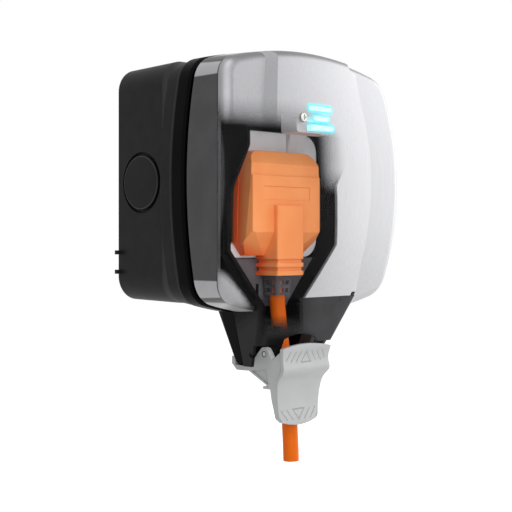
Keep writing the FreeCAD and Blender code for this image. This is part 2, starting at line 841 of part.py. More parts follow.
def contact(x, z, pin_width, pin_height, upright):
    """A sprung clip: a foot, two leaves that hold the pin, and a tail to its terminal."""
    leaf_tip = floor_depth + 1 + leaf_length
    if upright:
        side = pin_width / 2 + leaf_clearance
        leaves = [block(x + s0, x + s1, floor_depth, leaf_tip, z - 3, z + 3)
                  for s0, s1 in ((side, side + leaf_thickness), (-side - leaf_thickness, -side))]
    else:
        side = pin_height / 2 + leaf_clearance
        leaves = [block(x - 2.8, x + 2.8, floor_depth, leaf_tip, z + s0, z + s1)
                  for s0, s1 in ((side, side + leaf_thickness), (-side - leaf_thickness, -side))]
    foot = block(x - 3.2, x + 3.2, floor_depth, floor_depth + 1, z - 3.2, z + 3.2)
    tail = block(x - 2.5, x + 2.5, housing_rear_depth, floor_depth + 1, z - 0.5, z + 0.5)
    return join(foot, tail, *leaves)


def terminal(x, z):
    half = terminal_size / 2
    body = block(x - half, x + half, housing_rear_depth - terminal_size, housing_rear_depth,
                 z - half, z + half)
    body = body.makeChamfer(0.5, depth_edges(body))
    body = body.cut(rod_z(x, housing_rear_depth - half - 1, z - half - 1, z + half + 1,
                          terminal_bore_radius))
    return body.cut(rod_y(x, z, housing_rear_depth - terminal_size - 1,
                          housing_rear_depth - half - 1, small_screw_radius + 0.05))


def terminal_screw(x, z):
    seat = housing_rear_depth - terminal_size
    return screw(x, z, seat, 2.8, small_screw_radius, 2.4, 1.6, into=1)


def shutter():
    """Slides aside under the earth pin; it stands open here, its windows round the pins."""
    rear = plate_rear_depth - shutter_thickness
    half = shutter_half_width
    plate = block(-half, half, rear, plate_rear_depth, flat_pin_z - 6, earth_pin_z + 8)
    plate = plate.makeFillet(2.0, depth_edges(plate))
    for cutter in apertures(rear - 1, plate_rear_depth + 1, aperture_clearance):
        plate = plate.cut(cutter)
    return plate


def coil(radius, wire, pitch, turns, centre, direction):
    """A helical spring with its axis through a centre point."""
    helix = Part.makeHelix(pitch, pitch * turns, radius)
    start = V(radius, 0, 0)
    tangent = V(0, radius * 2 * math.pi, pitch)
    section = Part.Wire(Part.makeCircle(wire, start, tangent))
    spring = Part.Wire(helix).makePipeShell([section], True, False)
    spring.Placement = FreeCAD.Placement(centre, FreeCAD.Rotation(V(0, 0, 1), direction))
    return spring


def shutter_spring():
    """Lies across the housing, between its left wall and the shutter's edge."""
    wire = shutter_spring_wire
    start = -housing_half_width + housing_wall + wire
    room = -shutter_half_width - wire - start
    depth = plate_rear_depth - shutter_spring_radius - wire - 0.1
    centre_depth = min(depth, plate_rear_depth - shutter_thickness / 2 - 1.2)
    return coil(shutter_spring_radius, wire, room / 7, 7, at(start, centre_depth, flat_pin_z + 8),
                V(1, 0, 0))


def rocker_parts():
    """The rocker, its plunger and its spring, built upright and then tilted to ON."""
    front = rocker_pivot_depth + rocker_face_height
    body = block(rocker_x - rocker_half_width, rocker_x + rocker_half_width,
                 rocker_pivot_depth - 1.5, front,
                 rocker_pivot_z - rocker_half_height, rocker_pivot_z + rocker_half_height)
    rim = [e for e in body.Edges if abs(e.BoundBox.YMax + front) < 0.001]
    body = body.makeFillet(0.8, rim)
    scoop_radius = 60.0
    scoop = rod_x(-far, far, front + scoop_radius - 0.8, rocker_pivot_z, scoop_radius)
    body = body.cut(scoop)
    reach = rocker_half_width + 2.0
    trunnion = rod_x(rocker_x - reach, rocker_x + reach, rocker_pivot_depth, rocker_pivot_z,
                     rocker_trunnion_radius)
    stem_end = rocker_pivot_depth - 1 - rocker_stem_length
    stem = rod_y(rocker_x, rocker_pivot_z, stem_end, rocker_pivot_depth, rocker_stem_radius)
    bore = rod_y(rocker_x, rocker_pivot_z, stem_end - 1, rocker_pivot_depth - 0.5,
                 plunger_radius + 0.05)
    rocker = join(body, trunnion, stem).cut(bore)
    tip = rocker_pivot_depth - plunger_reach
    plunger = rod_y(rocker_x, rocker_pivot_z, tip, stem_end + 2.5, plunger_radius)
    nose = [e for e in plunger.Edges if abs(e.BoundBox.YMin + tip) < 0.01 and e.BoundBox.YLength < 0.01]
    plunger = plunger.makeFillet(plunger_radius * 0.6, nose)
    wire = 0.22
    room = rocker_pivot_depth - 0.5 - (stem_end + 2.5)
    spring = coil(plunger_radius - wire - 0.1, wire, (room - 2 * wire - 0.1) / 5, 5,
                  at(rocker_x, stem_end + 2.5 + wire + 0.05, rocker_pivot_z), V(0, -1, 0))
    pivot = at(rocker_x, rocker_pivot_depth, rocker_pivot_z)
    tilted = []
    for piece in (rocker, plunger, spring):
        piece.rotate(pivot, V(1, 0, 0), rocker_tilt_degrees)
        tilted.append(piece)
    return tilted


def switch_contact():
    """The see-saw strip that the plunger tips over."""
    strip = block(rocker_x - contact_half_width, rocker_x + contact_half_width,
                  contact_pivot_depth - contact_strip_thickness / 2,
                  contact_pivot_depth + contact_strip_thickness / 2,
                  rocker_pivot_z - contact_half_length, rocker_pivot_z + contact_half_length)
    stud = rod_y(rocker_x, rocker_pivot_z + contact_half_length - 1.6,
                 contact_pivot_depth - contact_strip_thickness / 2 - 0.6, contact_pivot_depth, 1.3)
    strip = join(strip, stud)
    strip.rotate(at(rocker_x, contact_pivot_depth, rocker_pivot_z), V(1, 0, 0),
                 -contact_tilt_degrees)
    return strip


def switch_cradle():
    """Post that carries the see-saw strip."""
    top = contact_pivot_depth - contact_strip_thickness / 2 - 0.12
    post = block(rocker_x - 1.6, rocker_x + 1.6, floor_depth, top, rocker_pivot_z - 0.5,
                 rocker_pivot_z + 0.5)
    foot = block(rocker_x - 3, rocker_x + 3, floor_depth, floor_depth + 1, rocker_pivot_z - 2.5,
                 rocker_pivot_z + 2.5)
    return join(post, foot)


def fixed_contact():
    """Post under the strip's upper end, which it meets when the switch is on."""
    z = rocker_pivot_z + contact_half_length - 1.6
    fall = (contact_half_length - 1.6) * math.tan(math.radians(contact_tilt_degrees))
    top = contact_pivot_depth - contact_strip_thickness / 2 - 0.6 - fall - 0.25
    post = block(rocker_x - 1.3, rocker_x + 1.3, floor_depth, top, z - 1.2, z + 0.8)
    foot = block(rocker_x - 3, rocker_x + 3, floor_depth, floor_depth + 1, z - 2.4, z + 1.6)
    return join(post, foot)


# Plug

plug_split_depth = plate_front_depth + plug_base_thickness


def plug_outline(half_width, low_cut):
    top = half_width - plug_top_taper
    return [
        (-top, plug_top_z),
        (top, plug_top_z),
        (half_width, plug_bottom_z + low_cut),
        (half_width - low_cut * 0.8, plug_bottom_z),
        (-half_width + low_cut * 0.8, plug_bottom_z),
        (-half_width, plug_bottom_z + low_cut),
    ]


def plug_prism(half_width, inset, d0, d1):
    outline = offset_outline(plug_outline(half_width, plug_low_cut), -inset)
    solid = front_prism(outline, d0, d1)
    corners = [e for e in depth_edges(solid) if e.Vertexes[0].Z > plug_top_z - inset - 0.1]
    return solid.makeFillet(plug_corner - inset, corners)


def pin_shank(node, grow=0.0):
    """A pin as it passes through the base; grow opens it into a hole."""
    if node == "earth":
        x, z, width, height, length = 0.0, earth_pin_z, earth_pin_width, earth_pin_height, earth_pin_length
    else:
        x = live_x if node == "live" else -live_x
        z, width, height, length = flat_pin_z, flat_pin_width, flat_pin_height, flat_pin_length
    return block(x - width / 2 - grow, x + width / 2 + grow, plate_front_depth - length,
                 plug_split_depth + 0.5, z - height / 2 - grow, z + height / 2 + grow)


def cord_bore():
    """Room for the cord through the plug's neck and over its base."""
    return rod_z(0, cord_depth_at_plug, neck_bottom_z - 1, cord_tail_top_z + 1,
                 cord_radius + cord_bore_clearance)


def plug_base():
    base = plug_prism(plug_base_half_width, 0.0, plate_front_depth, plug_split_depth)
    rim = [e for e in base.Edges if abs(e.BoundBox.YMin + plate_front_depth) < 0.001]
    base = base.makeFillet(0.8, rim)
    for node in ("earth", "live", "neutral"):
        base = base.cut(pin_shank(node, 0.02))
    base = base.cut(rod_y(0, plug_screw_z, plate_front_depth - 1, plate_front_depth + 2.2, 3.4))
    base = base.cut(rod_y(0, plug_screw_z, plate_front_depth, plug_split_depth + 1, 1.7))
    return base.cut(cord_bore())


plug_screw_z = -9.0


def plug_pin(node):
    shank = pin_shank(node)
    tip = [e for e in shank.Edges if abs(e.BoundBox.YMin + plate_front_depth
                                         - (earth_pin_length if node == "earth" else flat_pin_length))
           < 0.001 and e.BoundBox.YLength < 0.001]
    shank = shank.makeChamfer(0.7, tip)
    x = {"earth": 0.0, "live": live_x, "neutral": -live_x}[node]
    z = earth_pin_z if node == "earth" else flat_pin_z
    head = block(x - 3.6, x + 3.6, plug_split_depth, plug_split_depth + 4, z - 4.2, z + 4.2)
    head = head.makeChamfer(0.5, depth_edges(head))
    pin = join(shank, head)
    return pin.cut(rod_y(x, z, plug_split_depth + 1, plug_split_depth + 5, small_screw_radius))


def plug_cover():
    body = plug_prism(plug_half_width, 0.0, plug_split_depth, plug_front_depth)
    back = plug_split_depth
    front = plug_front_depth
    # Sloping top, recessed band and bevelled foot of the front face
    top_slope = [(front - 5, plug_top_z + 1), (front - plug_panel_step, plug_ridge_z),
                 (front + 2, plug_ridge_z), (front + 2, plug_top_z + 1)]
    band = [(front - plug_panel_step, plug_step_z), (front - plug_panel_step, plug_ridge_z + 1),
            (front + 2, plug_ridge_z + 1), (front + 2, plug_step_z)]
    foot = [(front, plug_foot_z), (back + 2.5, plug_bottom_z - 0.5), (front + 2, plug_bottom_z - 2),
            (front + 2, plug_foot_z)]
    for outline in (top_slope, band, foot):
        body = body.cut(side_prism(outline, -far, far))
    # Oblique facets at the two lower corners of the front
    corner = at(plug_half_width + 0.1, front, plug_foot_z + 1)
    normal = V(24.75, -87.75, -77.8)
    facet = Part.makeBox(200, 200, 60, V(-100, -100, 0))
    facet.Placement = FreeCAD.Placement(corner, FreeCAD.Rotation(V(0, 0, 1), normal))
    body = body.cut(facet).cut(mirrored(facet))
    flank = level_prism([(plug_half_width - plug_flank_bevel, front),
                         (plug_half_width + plug_flank_bevel, front),
                         (plug_half_width + plug_flank_bevel, front - 2 * plug_flank_run)],
                        -far, far)
    body = body.cut(flank).cut(mirrored(flank))
    inner_front = front - plug_panel_step - plug_front_wall
    hollow = plug_prism(plug_half_width, plug_wall, back - 1, inner_front)
    room = [(back - 1, plug_top_z - 3), (front - 7.5, plug_top_z - plug_wall),
            (inner_front, plug_ridge_z - 1.5),
            (inner_front, plug_foot_z - 0.5),
            (back + 2.2, plug_bottom_z + 3.2), (back - 1, plug_bottom_z + 3.2)]
    body = body.cut(hollow.common(side_prism(room, -far, far)))
    tongue = block(-tongue_half_width, tongue_half_width, back, tongue_front_depth,
                   neck_bottom_z, tongue_top_z)
    shoulders = [e for e in tongue.Edges if e.BoundBox.YMax < -tongue_front_depth + 0.01
                 and e.BoundBox.ZLength > 1]
    tongue = tongue.makeFillet(1.2, shoulders)
    neck = block(-tongue_half_width, tongue_half_width, plate_front_depth + 0.4, back + 1,
                 neck_bottom_z, plug_bottom_z - 0.1)
    body = join(body, tongue, neck)
    body = body.cut(hollow.common(side_prism(room, -far, far)))
    body = body.cut(cord_bore()).cut(clamp_block(0.15))
    for row in range(2):
        z = neck_bottom_z + 2.4 + row * neck_groove_pitch
        ring = block(-far, far, 0, far, z, z + neck_groove_height)
        core_half = tongue_half_width - neck_groove_depth
        core = block(-core_half, core_half, plate_front_depth + 0.4 + neck_groove_depth,
                     tongue_front_depth - neck_groove_depth, z - 1, z + neck_groove_height + 1)
        body = body.cut(ring.cut(core))
    label = block(-label_half_width, label_half_width, front - label_depth, front + 1,
                  label_z - label_height / 2, label_z + label_height / 2)
    body = body.cut(label)
    boss = rod_y(0, plug_screw_z, back, front - 1.5, 3.6)
    body = join(body, boss)
    return body.cut(rod_y(0, plug_screw_z, back - 1, back + 7, 1.35))


def plug_fuse():
    low = fuse_z - fuse_length / 2
    tube = rod_z(fuse_x, fuse_depth, low + 5, low + fuse_length - 5, fuse_radius - 0.25)
    ends = [rod_z(fuse_x, fuse_depth, low, low + 6, fuse_radius),
            rod_z(fuse_x, fuse_depth, low + fuse_length - 6, low + fuse_length, fuse_radius)]
    return join(tube, *ends)


def fuse_clip(z):
    """A small U that grips one end of the fuse and stands on the base."""
    inner = fuse_radius + 0.08
    outer = inner + 0.6
    wrap = rod_z(fuse_x, fuse_depth, z, z + 4, outer)
    sides = block(fuse_x - outer, fuse_x + outer, plug_split_depth, fuse_depth, z, z + 4)
    body = join(wrap, sides).cut(rod_z(fuse_x, fuse_depth, z - 1, z + 5, inner))
    body = body.cut(block(fuse_x - 2.0, fuse_x + 2.0, fuse_depth, far, z - 1, z + 5))
    return body.cut(block(fuse_x - inner, fuse_x + inner, plug_split_depth + 0.8, fuse_depth,
                          z - 1, z + 5))


def clamp_block(grow):
    half = clamp_half_width + grow
    return block(-half, half, plug_split_depth - 10 * grow,
                 cord_depth_at_plug + cord_radius + clamp_wall + grow, clamp_bottom_z - grow,
                 clamp_bottom_z + clamp_height + grow)


def cord_clamp():
    """Saddle over the cord inside the plug."""
    inner = cord_radius + 0.05
    low, high = clamp_bottom_z - 1, clamp_bottom_z + clamp_height + 1
    body = clamp_block(0.0).cut(rod_z(0, cord_depth_at_plug, low, high, inner))
    return body.cut(block(-inner, inner, plug_split_depth - 1, cord_depth_at_plug, low, high))


def rounded_level(half, z):
    """A rounded square section of the boot at a height, round the cord."""
    solid = Part.makeBox(2 * half, 2 * half, 1.0, at(-half, cord_depth_at_plug + half, z))
    edges = [e for e in solid.Edges if e.BoundBox.ZLength > 0.9]
    solid = solid.makeFillet(boot_corner, edges)
    for face in solid.Faces:
        if face.BoundBox.ZLength < 0.001 and abs(face.BoundBox.ZMin - z) < 0.001:
            return face.OuterWire


def cord_boot():
    """Tapered cage that guards the cord where it leaves the plug, with two rows of windows."""
    top_z = neck_bottom_z - 0.05
    body = Part.makeLoft([rounded_level(boot_bottom_half, boot_bottom_z),
                          rounded_level(boot_top_half, top_z)], True, True)
    collar = Part.makeLoft([rounded_level(boot_bottom_half + 0.5, boot_bottom_z),
                            rounded_level(boot_bottom_half + 0.5, boot_bottom_z + 1.4)], True, True)
    body = join(body, collar)
    body = body.cut(rod_z(0, cord_depth_at_plug, boot_bottom_z - 1, top_z + 1,
                          cord_radius + cord_bore_clearance))
    for z in boot_window_rows:
        for offset in (-boot_window_width / 2 - 0.5, boot_window_width / 2 + 0.5):
            lo, hi = offset - boot_window_width / 2, offset + boot_window_width / 2
            body = body.cut(block(lo, hi, 0, far, z - boot_window_height / 2,
                                  z + boot_window_height / 2))
            body = body.cut(block(-far, far, cord_depth_at_plug + lo, cord_depth_at_plug + hi,
                                  z - boot_window_height / 2, z + boot_window_height / 2))
    return body


def cord_path():
    """Straight runs joined by tangent arcs, with each radius printed."""
    points = [V(*p) for p in cord_route]
    edges = []
    start = points[0]
    for i in range(1, len(points) - 1):
        before = points[i] - points[i - 1]
        after = points[i + 1] - points[i]
        turn = before.getAngle(after)
        run = min(before.Length, after.Length)
        radius = 0.45 * run / math.tan(turn / 2)
        print("cord bend radius", round(radius, 1), "turn", round(math.degrees(turn), 1))
        cut = 0.45 * run
        a = points[i] - before.normalize() * cut
        b = points[i] + after.normalize() * cut
        chord_mid = (a + b) * 0.5
        inward = chord_mid - points[i]
        reach = radius / math.cos(turn / 2) - radius
        middle = points[i] + inward.normalize() * reach
        edges.append(Part.LineSegment(start, a).toShape())
        edges.append(Part.Arc(a, middle, b).toShape())
        start = b
    edges.append(Part.LineSegment(start, points[-1]).toShape())
    return Part.Wire(edges)


def cord():
    path = cord_path()
    first = V(*cord_route[0])
    heading = V(*cord_route[1]) - first
    section = Part.Wire(Part.makeCircle(cord_radius, first, heading))
    tube = path.makePipeShell([section], True, False)
    print("cord length", round(path.Length, 2), "volume ratio",
          round(tube.Volume / (math.pi * cord_radius ** 2 * path.Length), 4))
    return tube


# Lid

def drum(face_depth):
    """The large cylinder whose front gives the lid face its bulge."""
    centre = at(-far, face_depth - lid_bulge_radius, 0)
    return Part.makeCylinder(lid_bulge_radius, 2 * far, centre, V(1, 0, 0))


def panel_form(inset, outline):
    """The raised centre panel, with bowed sides that slant down to the face around it."""

    def level(half_width, depth):
        x = half_width - inset - drop(panel_bow_radius, panel_end_z)
        head, foot = panel_end_z, -panel_end_z
        edges = [
            Part.LineSegment(at(-x, depth, head), at(x, depth, head)),
            Part.Arc(at(x, depth, head), at(half_width - inset, depth, 0), at(x, depth, foot)),
            Part.LineSegment(at(x, depth, foot), at(-x, depth, foot)),
            Part.Arc(at(-x, depth, foot), at(-half_width + inset, depth, 0), at(-x, depth, head)),
        ]
        return Part.Wire([edge.toShape() for edge in edges])

    slant = (panel_foot_half_width - panel_half_width) / panel_height
    foot_depth = lid_face_depth - 18
    top_depth = lid_face_depth + panel_height + 1
    wide = panel_half_width + slant * (lid_face_depth + panel_height - foot_depth)
    narrow = panel_half_width - slant
    solid = Part.makeLoft([level(wide, foot_depth), level(narrow, top_depth)], True, True)
    solid = solid.common(outline).common(drum(lid_face_depth + panel_height - inset))
    end_half_width = panel_half_width - drop(panel_bow_radius, lid_half_height)
    ends = [e for e in solid.Edges if e.BoundBox.YMin < -lid_face_depth + lid_end_sag + 2
            and e.BoundBox.YLength < 2 and e.BoundBox.XLength > end_half_width
            and abs(e.BoundBox.Center.z) > lid_half_height - 8.6]
    return solid.makeFillet(lid_shoulder - inset, ends)


def lid_prism(inset, d0, d1):
    """The lid's drafted outline between two depths."""
    rear_height = lid_half_height - lid_end_draft * (d0 - lid_rear_depth)
    return bowed_prism(lid_half_width, rear_height, lid_corner, d0, d1, inset, lid_end_draft)


def lid_form(inset, rear_depth):
    """The lid's closed outer form, or its inside where the inset is a wall."""
    outline = lid_prism(inset, rear_depth, lid_face_depth + 20)
    solid = outline.common(drum(lid_face_depth - inset))
    loop = [e for e in solid.Edges if e.BoundBox.YMin < -lid_face_depth + inset + lid_end_sag + 4
            and e.BoundBox.YMax < -rear_depth - 5 and not is_depth_edge(e)]
    solid = solid.makeFillet(lid_shoulder - inset, loop)
    return solid.fuse(panel_form(inset, outline)).removeSplitter()


def is_depth_edge(edge):
    ends = [vertex.Point for vertex in edge.Vertexes]
    return len(ends) == 2 and abs(ends[1].y - ends[0].y) > 0.98 * (ends[1] - ends[0]).Length


def chute_mouth():
    """What the cable chute takes out of the lid's foot."""
    funnel = chute_form(-0.2, chute_top_z, chute_bottom_z)
    half = chute_top_front_half_width - 2.0
    opening = block(-half, half, lid_face_depth - 15, far, -far, panel_bottom_z)
    return funnel.fuse(opening)


def lid_shells():
    """The brushed front and the moulded skirt behind its seam, as two solids."""
    outer = lid_form(0.0, lid_rear_depth)
    seam = drum(lid_face_depth - lid_seam_setback)
    skirt_room = lid_prism(lid_wall, lid_rear_depth - 1, lid_face_depth + 20)
    skirt = outer.common(seam).cut(skirt_room)
    front = outer.cut(seam).cut(lid_form(lid_skin, lid_rear_depth - 1))
    land = bowed_ring(lid_half_width, lid_half_height, lid_corner, lid_wall - 0.2, lid_land_width,
                      lid_rear_depth, lid_rear_depth + lid_land_thickness)
    skirt = join(skirt, land)
    mouth = chute_mouth()
    tray = block(-chute_top_half_width, chute_top_half_width, lid_rear_depth - 1,
                 lid_rear_depth + lid_land_thickness + 1, -far, chute_top_z + 2.2)
    skirt = skirt.cut(mouth).cut(tray)
    front = front.cut(mouth)
    knuckles = []
    for sx in (-1, 1):
        x0, x1 = sorted((sx * knuckle_inner_x, sx * (knuckle_split_x - knuckle_gap)))
        lug = block(x0, x1, hinge_depth, lid_rear_depth + lid_land_thickness, hinge_z - 1.6,
                    hinge_z + 1.6)
        knuckles += [rod_x(x0, x1, hinge_depth, hinge_z, knuckle_radius), lug]
    skirt = join(skirt, *knuckles)
    skirt = skirt.cut(rod_x(-far, far, hinge_depth, hinge_z,
                            hinge_pin_radius + hinge_running_clearance))
    return skirt, front


def light_bar(index, grow=0.0):
    """One plain straight bar with round ends, set through the lid's face."""
    half = bar_half_widths[index] + grow
    high = bar_half_height + grow
    z = bar_heights[index]
    face = lid_face_depth + panel_height - drop(lid_bulge_radius, z)
    rear = light_board_depth + light_board_thickness
    reach = face + (bar_proud if grow == 0.0 else 5)
    low, top = bar_centre_x - half + high, bar_centre_x + half - high
    core = block(low, top, rear, reach, z - high, z + high)
    ends = [rod_y(x, z, rear, reach, high) for x in (low, top)]
    return join(core, *ends)


def light_board():
    return block(bar_centre_x - light_board_half_width, bar_centre_x + light_board_half_width,
                 light_board_depth,
                 light_board_depth + light_board_thickness, light_board_bottom_z,
                 light_board_top_z)


def light_cover():
    """A shallow tray over the back of the board."""
    wall = light_cover_wall
    half = light_board_half_width + 0.2 + wall
    top = light_board_top_z + 0.2 + wall
    bottom = light_board_bottom_z - 0.2 - wall
    centre = bar_centre_x
    body = block(centre - half - 6.2, centre + half, light_cover_depth, far, bottom, top)
    body = body.makeFillet(1.5, depth_edges(body))
    body = body.common(lid_form(lid_skin + 0.1, lid_rear_depth))
    room = block(centre - half + wall, centre + half - wall, light_board_depth, far,
                 bottom + wall, top - wall)
    ledge = wall + light_board_ledge
    well = block(centre - half + ledge, centre + half - ledge, light_cover_depth + wall, far,
                 bottom + ledge, top - ledge)
    body = body.cut(room).cut(well)
    return body.cut(rod_y(lid_screw_x, lid_screw_z, light_cover_depth + 1.5, far,
                          screw_pilot_radius))


def lid_screw():
    """Holds the light's cover from the front of the lid, its head let in to a flat."""
    return screw(lid_screw_x, lid_screw_z, lid_screw_seat, 7.5, screw_pilot_radius - 0.05,
                 lid_screw_head_radius, 1.3)


def lid_chute():
    """The front half of the funnel, with the lugs that carry the latch."""
    outer = chute_form(0.0, chute_top_z, chute_bottom_z)
    shell = outer.cut(chute_form(chute_wall, chute_top_z + 0.001, chute_bottom_z - 2))
    seam = chute_seam_depth + chute_seam_gap
    shell = shell.cut(block(-far, far, 0, seam, -far, far))
    shell = shell.cut(block(-far, far, 0, far, panel_bottom_z - 0.2, far))
    notch = [(chute_notch_top_depth, chute_lip_z), (chute_notch_foot_depth, chute_bottom_z + 0.5),
             (chute_notch_foot_depth, chute_bottom_z - 3.5), (far, chute_bottom_z - 3.5),
             (far, chute_lip_z)]
    shell = shell.cut(side_prism(notch, -far, far))
    arch = rod_y(0, chute_arch_top_z - chute_arch_radius, chute_notch_top_depth, far,
                 chute_arch_radius)
    shell = shell.cut(arch)
    tab = lid_form(lid_skin + 0.1, lid_rear_depth).cut(lid_form(lid_skin + 2.1, lid_rear_depth - 1))
    tabs = [block(x, x + 5, lid_face_depth - 12, far, panel_bottom_z - 3, panel_bottom_z + 3)
            for x in (-27, 22)]
    tab = tab.common(tabs[0].fuse(tabs[1]))
    lugs = []
    for sx in (-1, 1):
        outer_x = latch_arm_inner_x - latch_side_gap
        x0, x1 = sorted((sx * outer_x, sx * (outer_x - latch_lug_thickness)))
        outline = from_pin([(11.8, 14.3), (12.3, 8.8), (4.5, -1.9), (0.0, -1.2), (-1.5, 2.2),
                            (3.3, 14.3)])
        lug = join(side_prism(outline, x0, x1),
                   rod_x(x0, x1, latch_pin_depth, latch_pin_z, latch_boss_radius - 0.4))
        lugs.append(lug.common(chute_form(chute_wall / 2, chute_top_z, chute_bottom_z)))
    body = join(shell, *tab.Solids, *lugs)
    return body.cut(rod_x(-far, far, latch_pin_depth, latch_pin_z, latch_pin_radius))


# Latch lever

def latch_plate_profile():
    """Side section of the thumb plate: a hollow, a ridge and a long hollow, with smooth faces."""
    front = from_pin([
        (14.7, 5.9), (15.1, 3.7), (14.6, 0.9), (14.1, -2.1), (14.4, -4.7), (14.9, -6.9),
        (14.3, -9.1), (12.7, -10.9), (10.9, -12.9), (9.7, -15.5), (9.0, -19.1), (8.6, -25.2),
        (8.8, -30.7), (9.6, -37.5),
    ])
    faces = []
    for setback in (0.0, latch_plate_thickness):
        curve = Part.BSplineCurve()
        curve.interpolate([at(0, depth - setback, z) for depth, z in front])
        faces.append(curve)
    front_face, back_face = faces
    top = Part.LineSegment(front_face.StartPoint, back_face.StartPoint)
    foot = Part.LineSegment(front_face.EndPoint, back_face.EndPoint)
    edges = [front_face.toShape(), foot.toShape(), back_face.toShape(), top.toShape()]
    return Part.Face(Part.Wire(Part.__sortEdges__(edges)))


def latch_plate_outline():
    """The thumb plate seen from the front, as a face."""
    top, ridge = latch_plate_top_half_width, latch_plate_ridge_half_width
    waist, foot = latch_plate_waist_half_width, latch_plate_foot_half_width
    top_z, foot_z = latch_plate_top_z, latch_plate_foot_z
    ridge_z, waist_z = latch_pin_z - 8.2, latch_pin_z - 17.0
    corner = 1.5
    edges = [
        Part.Arc(at(-top, 70, top_z), at(0, 70, top_z + latch_plate_crown), at(top, 70, top_z)),
        Part.Arc(at(-foot + corner, 70, foot_z + 1), at(0, 70, foot_z - 1.2),
                 at(foot - corner, 70, foot_z + 1)),
    ]
    for sx in (-1, 1):
        edges += [
            Part.Arc(at(sx * top, 70, top_z), at(sx * (ridge - 0.4), 70, top_z - 5.7),
                     at(sx * ridge, 70, ridge_z)),
            Part.Arc(at(sx * ridge, 70, ridge_z), at(sx * waist, 70, waist_z),
                     at(sx * foot, 70, foot_z + 3)),
            Part.LineSegment(at(sx * foot, 70, foot_z + 3), at(sx * (foot - corner), 70, foot_z + 1)),
        ]
    return Part.Face(Part.Wire(Part.__sortEdges__([edge.toShape() for edge in edges])))


def latch():
    """Lever with a curved thumb plate, two arms and two hooks behind the chute's foot."""
    arm = from_pin([
        (13.5, 3.1), (5.9, -2.7), (3.5, 1.3), (2.3, 2.7), (-2.3, 2.7), (-3.1, 1.9),
        (-11.1, -7.0), (-21.5, -7.0), (-21.5, -2.6), (-24.1, -2.6), (-24.1, -6.5), (-20.5, -9.7),
        (-11.2, -9.5), (3.9, -16.9), (4.3, -23.7), (5.2, -28.2), (6.3, -34.1), (8.3, -33.9),
        (7.4, -28.2), (7.3, -23.7), (7.9, -17.7), (9.7, -13.0), (12.6, -9.2), (13.2, -7.0),
        (12.7, -2.0),
    ])
    nib = from_pin([(-0.7, -17.9), (-0.7, -16.6), (5.1, -16.6), (5.1, -17.9)])
    web = from_pin([(-9.2, -9.3), (1.5, -7.6), (2.9, -15.6)])
    arms = []
    for sx in (-1, 1):
        x0, x1 = sorted((sx * latch_arm_inner_x, sx * latch_arm_outer_x))
        body = join(side_prism(arm, x0, x1), side_prism(nib, x0, x1),
                    rod_x(x0, x1, latch_pin_depth, latch_pin_z, latch_boss_radius))
        r0, r1 = sorted((sx * (latch_arm_outer_x - latch_web_recess), sx * far))
        arms.append(body.cut(side_prism(web, r0, r1)))
    wide = latch_plate_top_half_width
    strip = latch_plate_profile()
    strip.translate(V(-wide, 0, 0))
    strip = strip.extrude(V(2 * wide, 0, 0))
    reach = latch_plate_outline().extrude(V(0, -30, 0))
    keep = reach.fuse(block(-far, far, 0, latch_pin_depth + 3.8, -far, far))
    body = join(strip.common(reach), *[arm_body.common(keep) for arm_body in arms])
    return body.cut(rod_x(-far, far, latch_pin_depth, latch_pin_z,
                          latch_pin_radius + hinge_running_clearance))


def latch_pins():
    inner = latch_arm_inner_x - latch_side_gap - latch_lug_thickness
    pin = rod_x(inner, latch_arm_outer_x - 0.1, latch_pin_depth, latch_pin_z, latch_pin_radius)
    return [pin, mirrored(pin)]


# Write every node

cap = entry_cap()
gasket = entry_gasket()
write("back_box", back_box())
write("entry_cap_right", cap)
write("entry_cap_left", mirrored(cap))
write("entry_gaskets", gasket, mirrored(gasket))
write("box_seal", bowed_ring(collar_half_width, collar_half_height, collar_corner, box_seal_inset,
                             box_seal_width, collar_end_depth - 1.5, web_rear_depth))
write("front_frame", front_frame())
write("chamber_liner", chamber_liner())
corner_screws = []
for sx in (-1, 1):
    for sz in (-1, 1):
        corner_screws.append(screw(sx * frame_screw_x, sz * frame_screw_z, web_front_depth, 18.0,
                                   screw_pilot_radius - 0.05, 3.1, 2.2))
write("frame_screws", *corner_screws)
seal = bowed_ring(frame_half_width, frame_half_height, frame_corner, lid_seal_inset,
                  lid_seal_width, web_front_depth, lid_rear_depth - seal_rest_gap)
seal = seal.cut(block(-chute_top_half_width - 1, chute_top_half_width + 1, 0, far, -far, chute_top_z + 2))
write("lid_seal", seal)
write("socket_plate", socket_plate())
write("socket_housing", socket_housing())
write("socket_screws", *[screw(sx * ear_screw_x, plate_centre_z, plate_rear_depth, 7.0,
                               screw_pilot_radius - 0.05, 3.1, 2.0, into=1) for sx in (-1, 1)])
write("shutter", shutter())
write("shutter_spring", shutter_spring())
write("contact_earth", contact(0, earth_pin_z, earth_pin_width, earth_pin_height, True))
write("contact_live", contact(live_x, flat_pin_z, flat_pin_width, flat_pin_height, False))
write("contact_neutral", contact(-live_x, flat_pin_z, flat_pin_width, flat_pin_height, False))
terminal_places = ((0, earth_pin_z), (live_x, flat_pin_z), (-live_x, flat_pin_z))
write("terminals", *[terminal(x, z) for x, z in terminal_places])
write("terminal_screws", *[terminal_screw(x, z) for x, z in terminal_places])
rocker, plunger, rocker_spring = rocker_parts()
write("switch_rocker", rocker)
write("rocker_plunger", plunger)
write("rocker_spring", rocker_spring)
write("switch_contact", switch_contact())
write("switch_cradle", switch_cradle())
write("switch_fixed_contact", fixed_contact())
write("plug_base", plug_base())
write("plug_cover", plug_cover())
for pin_name in ("earth", "live", "neutral"):
    write("plug_pin_" + pin_name, plug_pin(pin_name))
write("plug_fuse", plug_fuse())
fuse_low = fuse_z - fuse_length / 2
write("fuse_clips", fuse_clip(fuse_low + 0.8), fuse_clip(fuse_low + fuse_length - 4.8))
write("plug_screw", screw(0, plug_screw_z, plate_front_depth + 2.2, 8.0, 1.3, 3.1, 1.8, into=1))
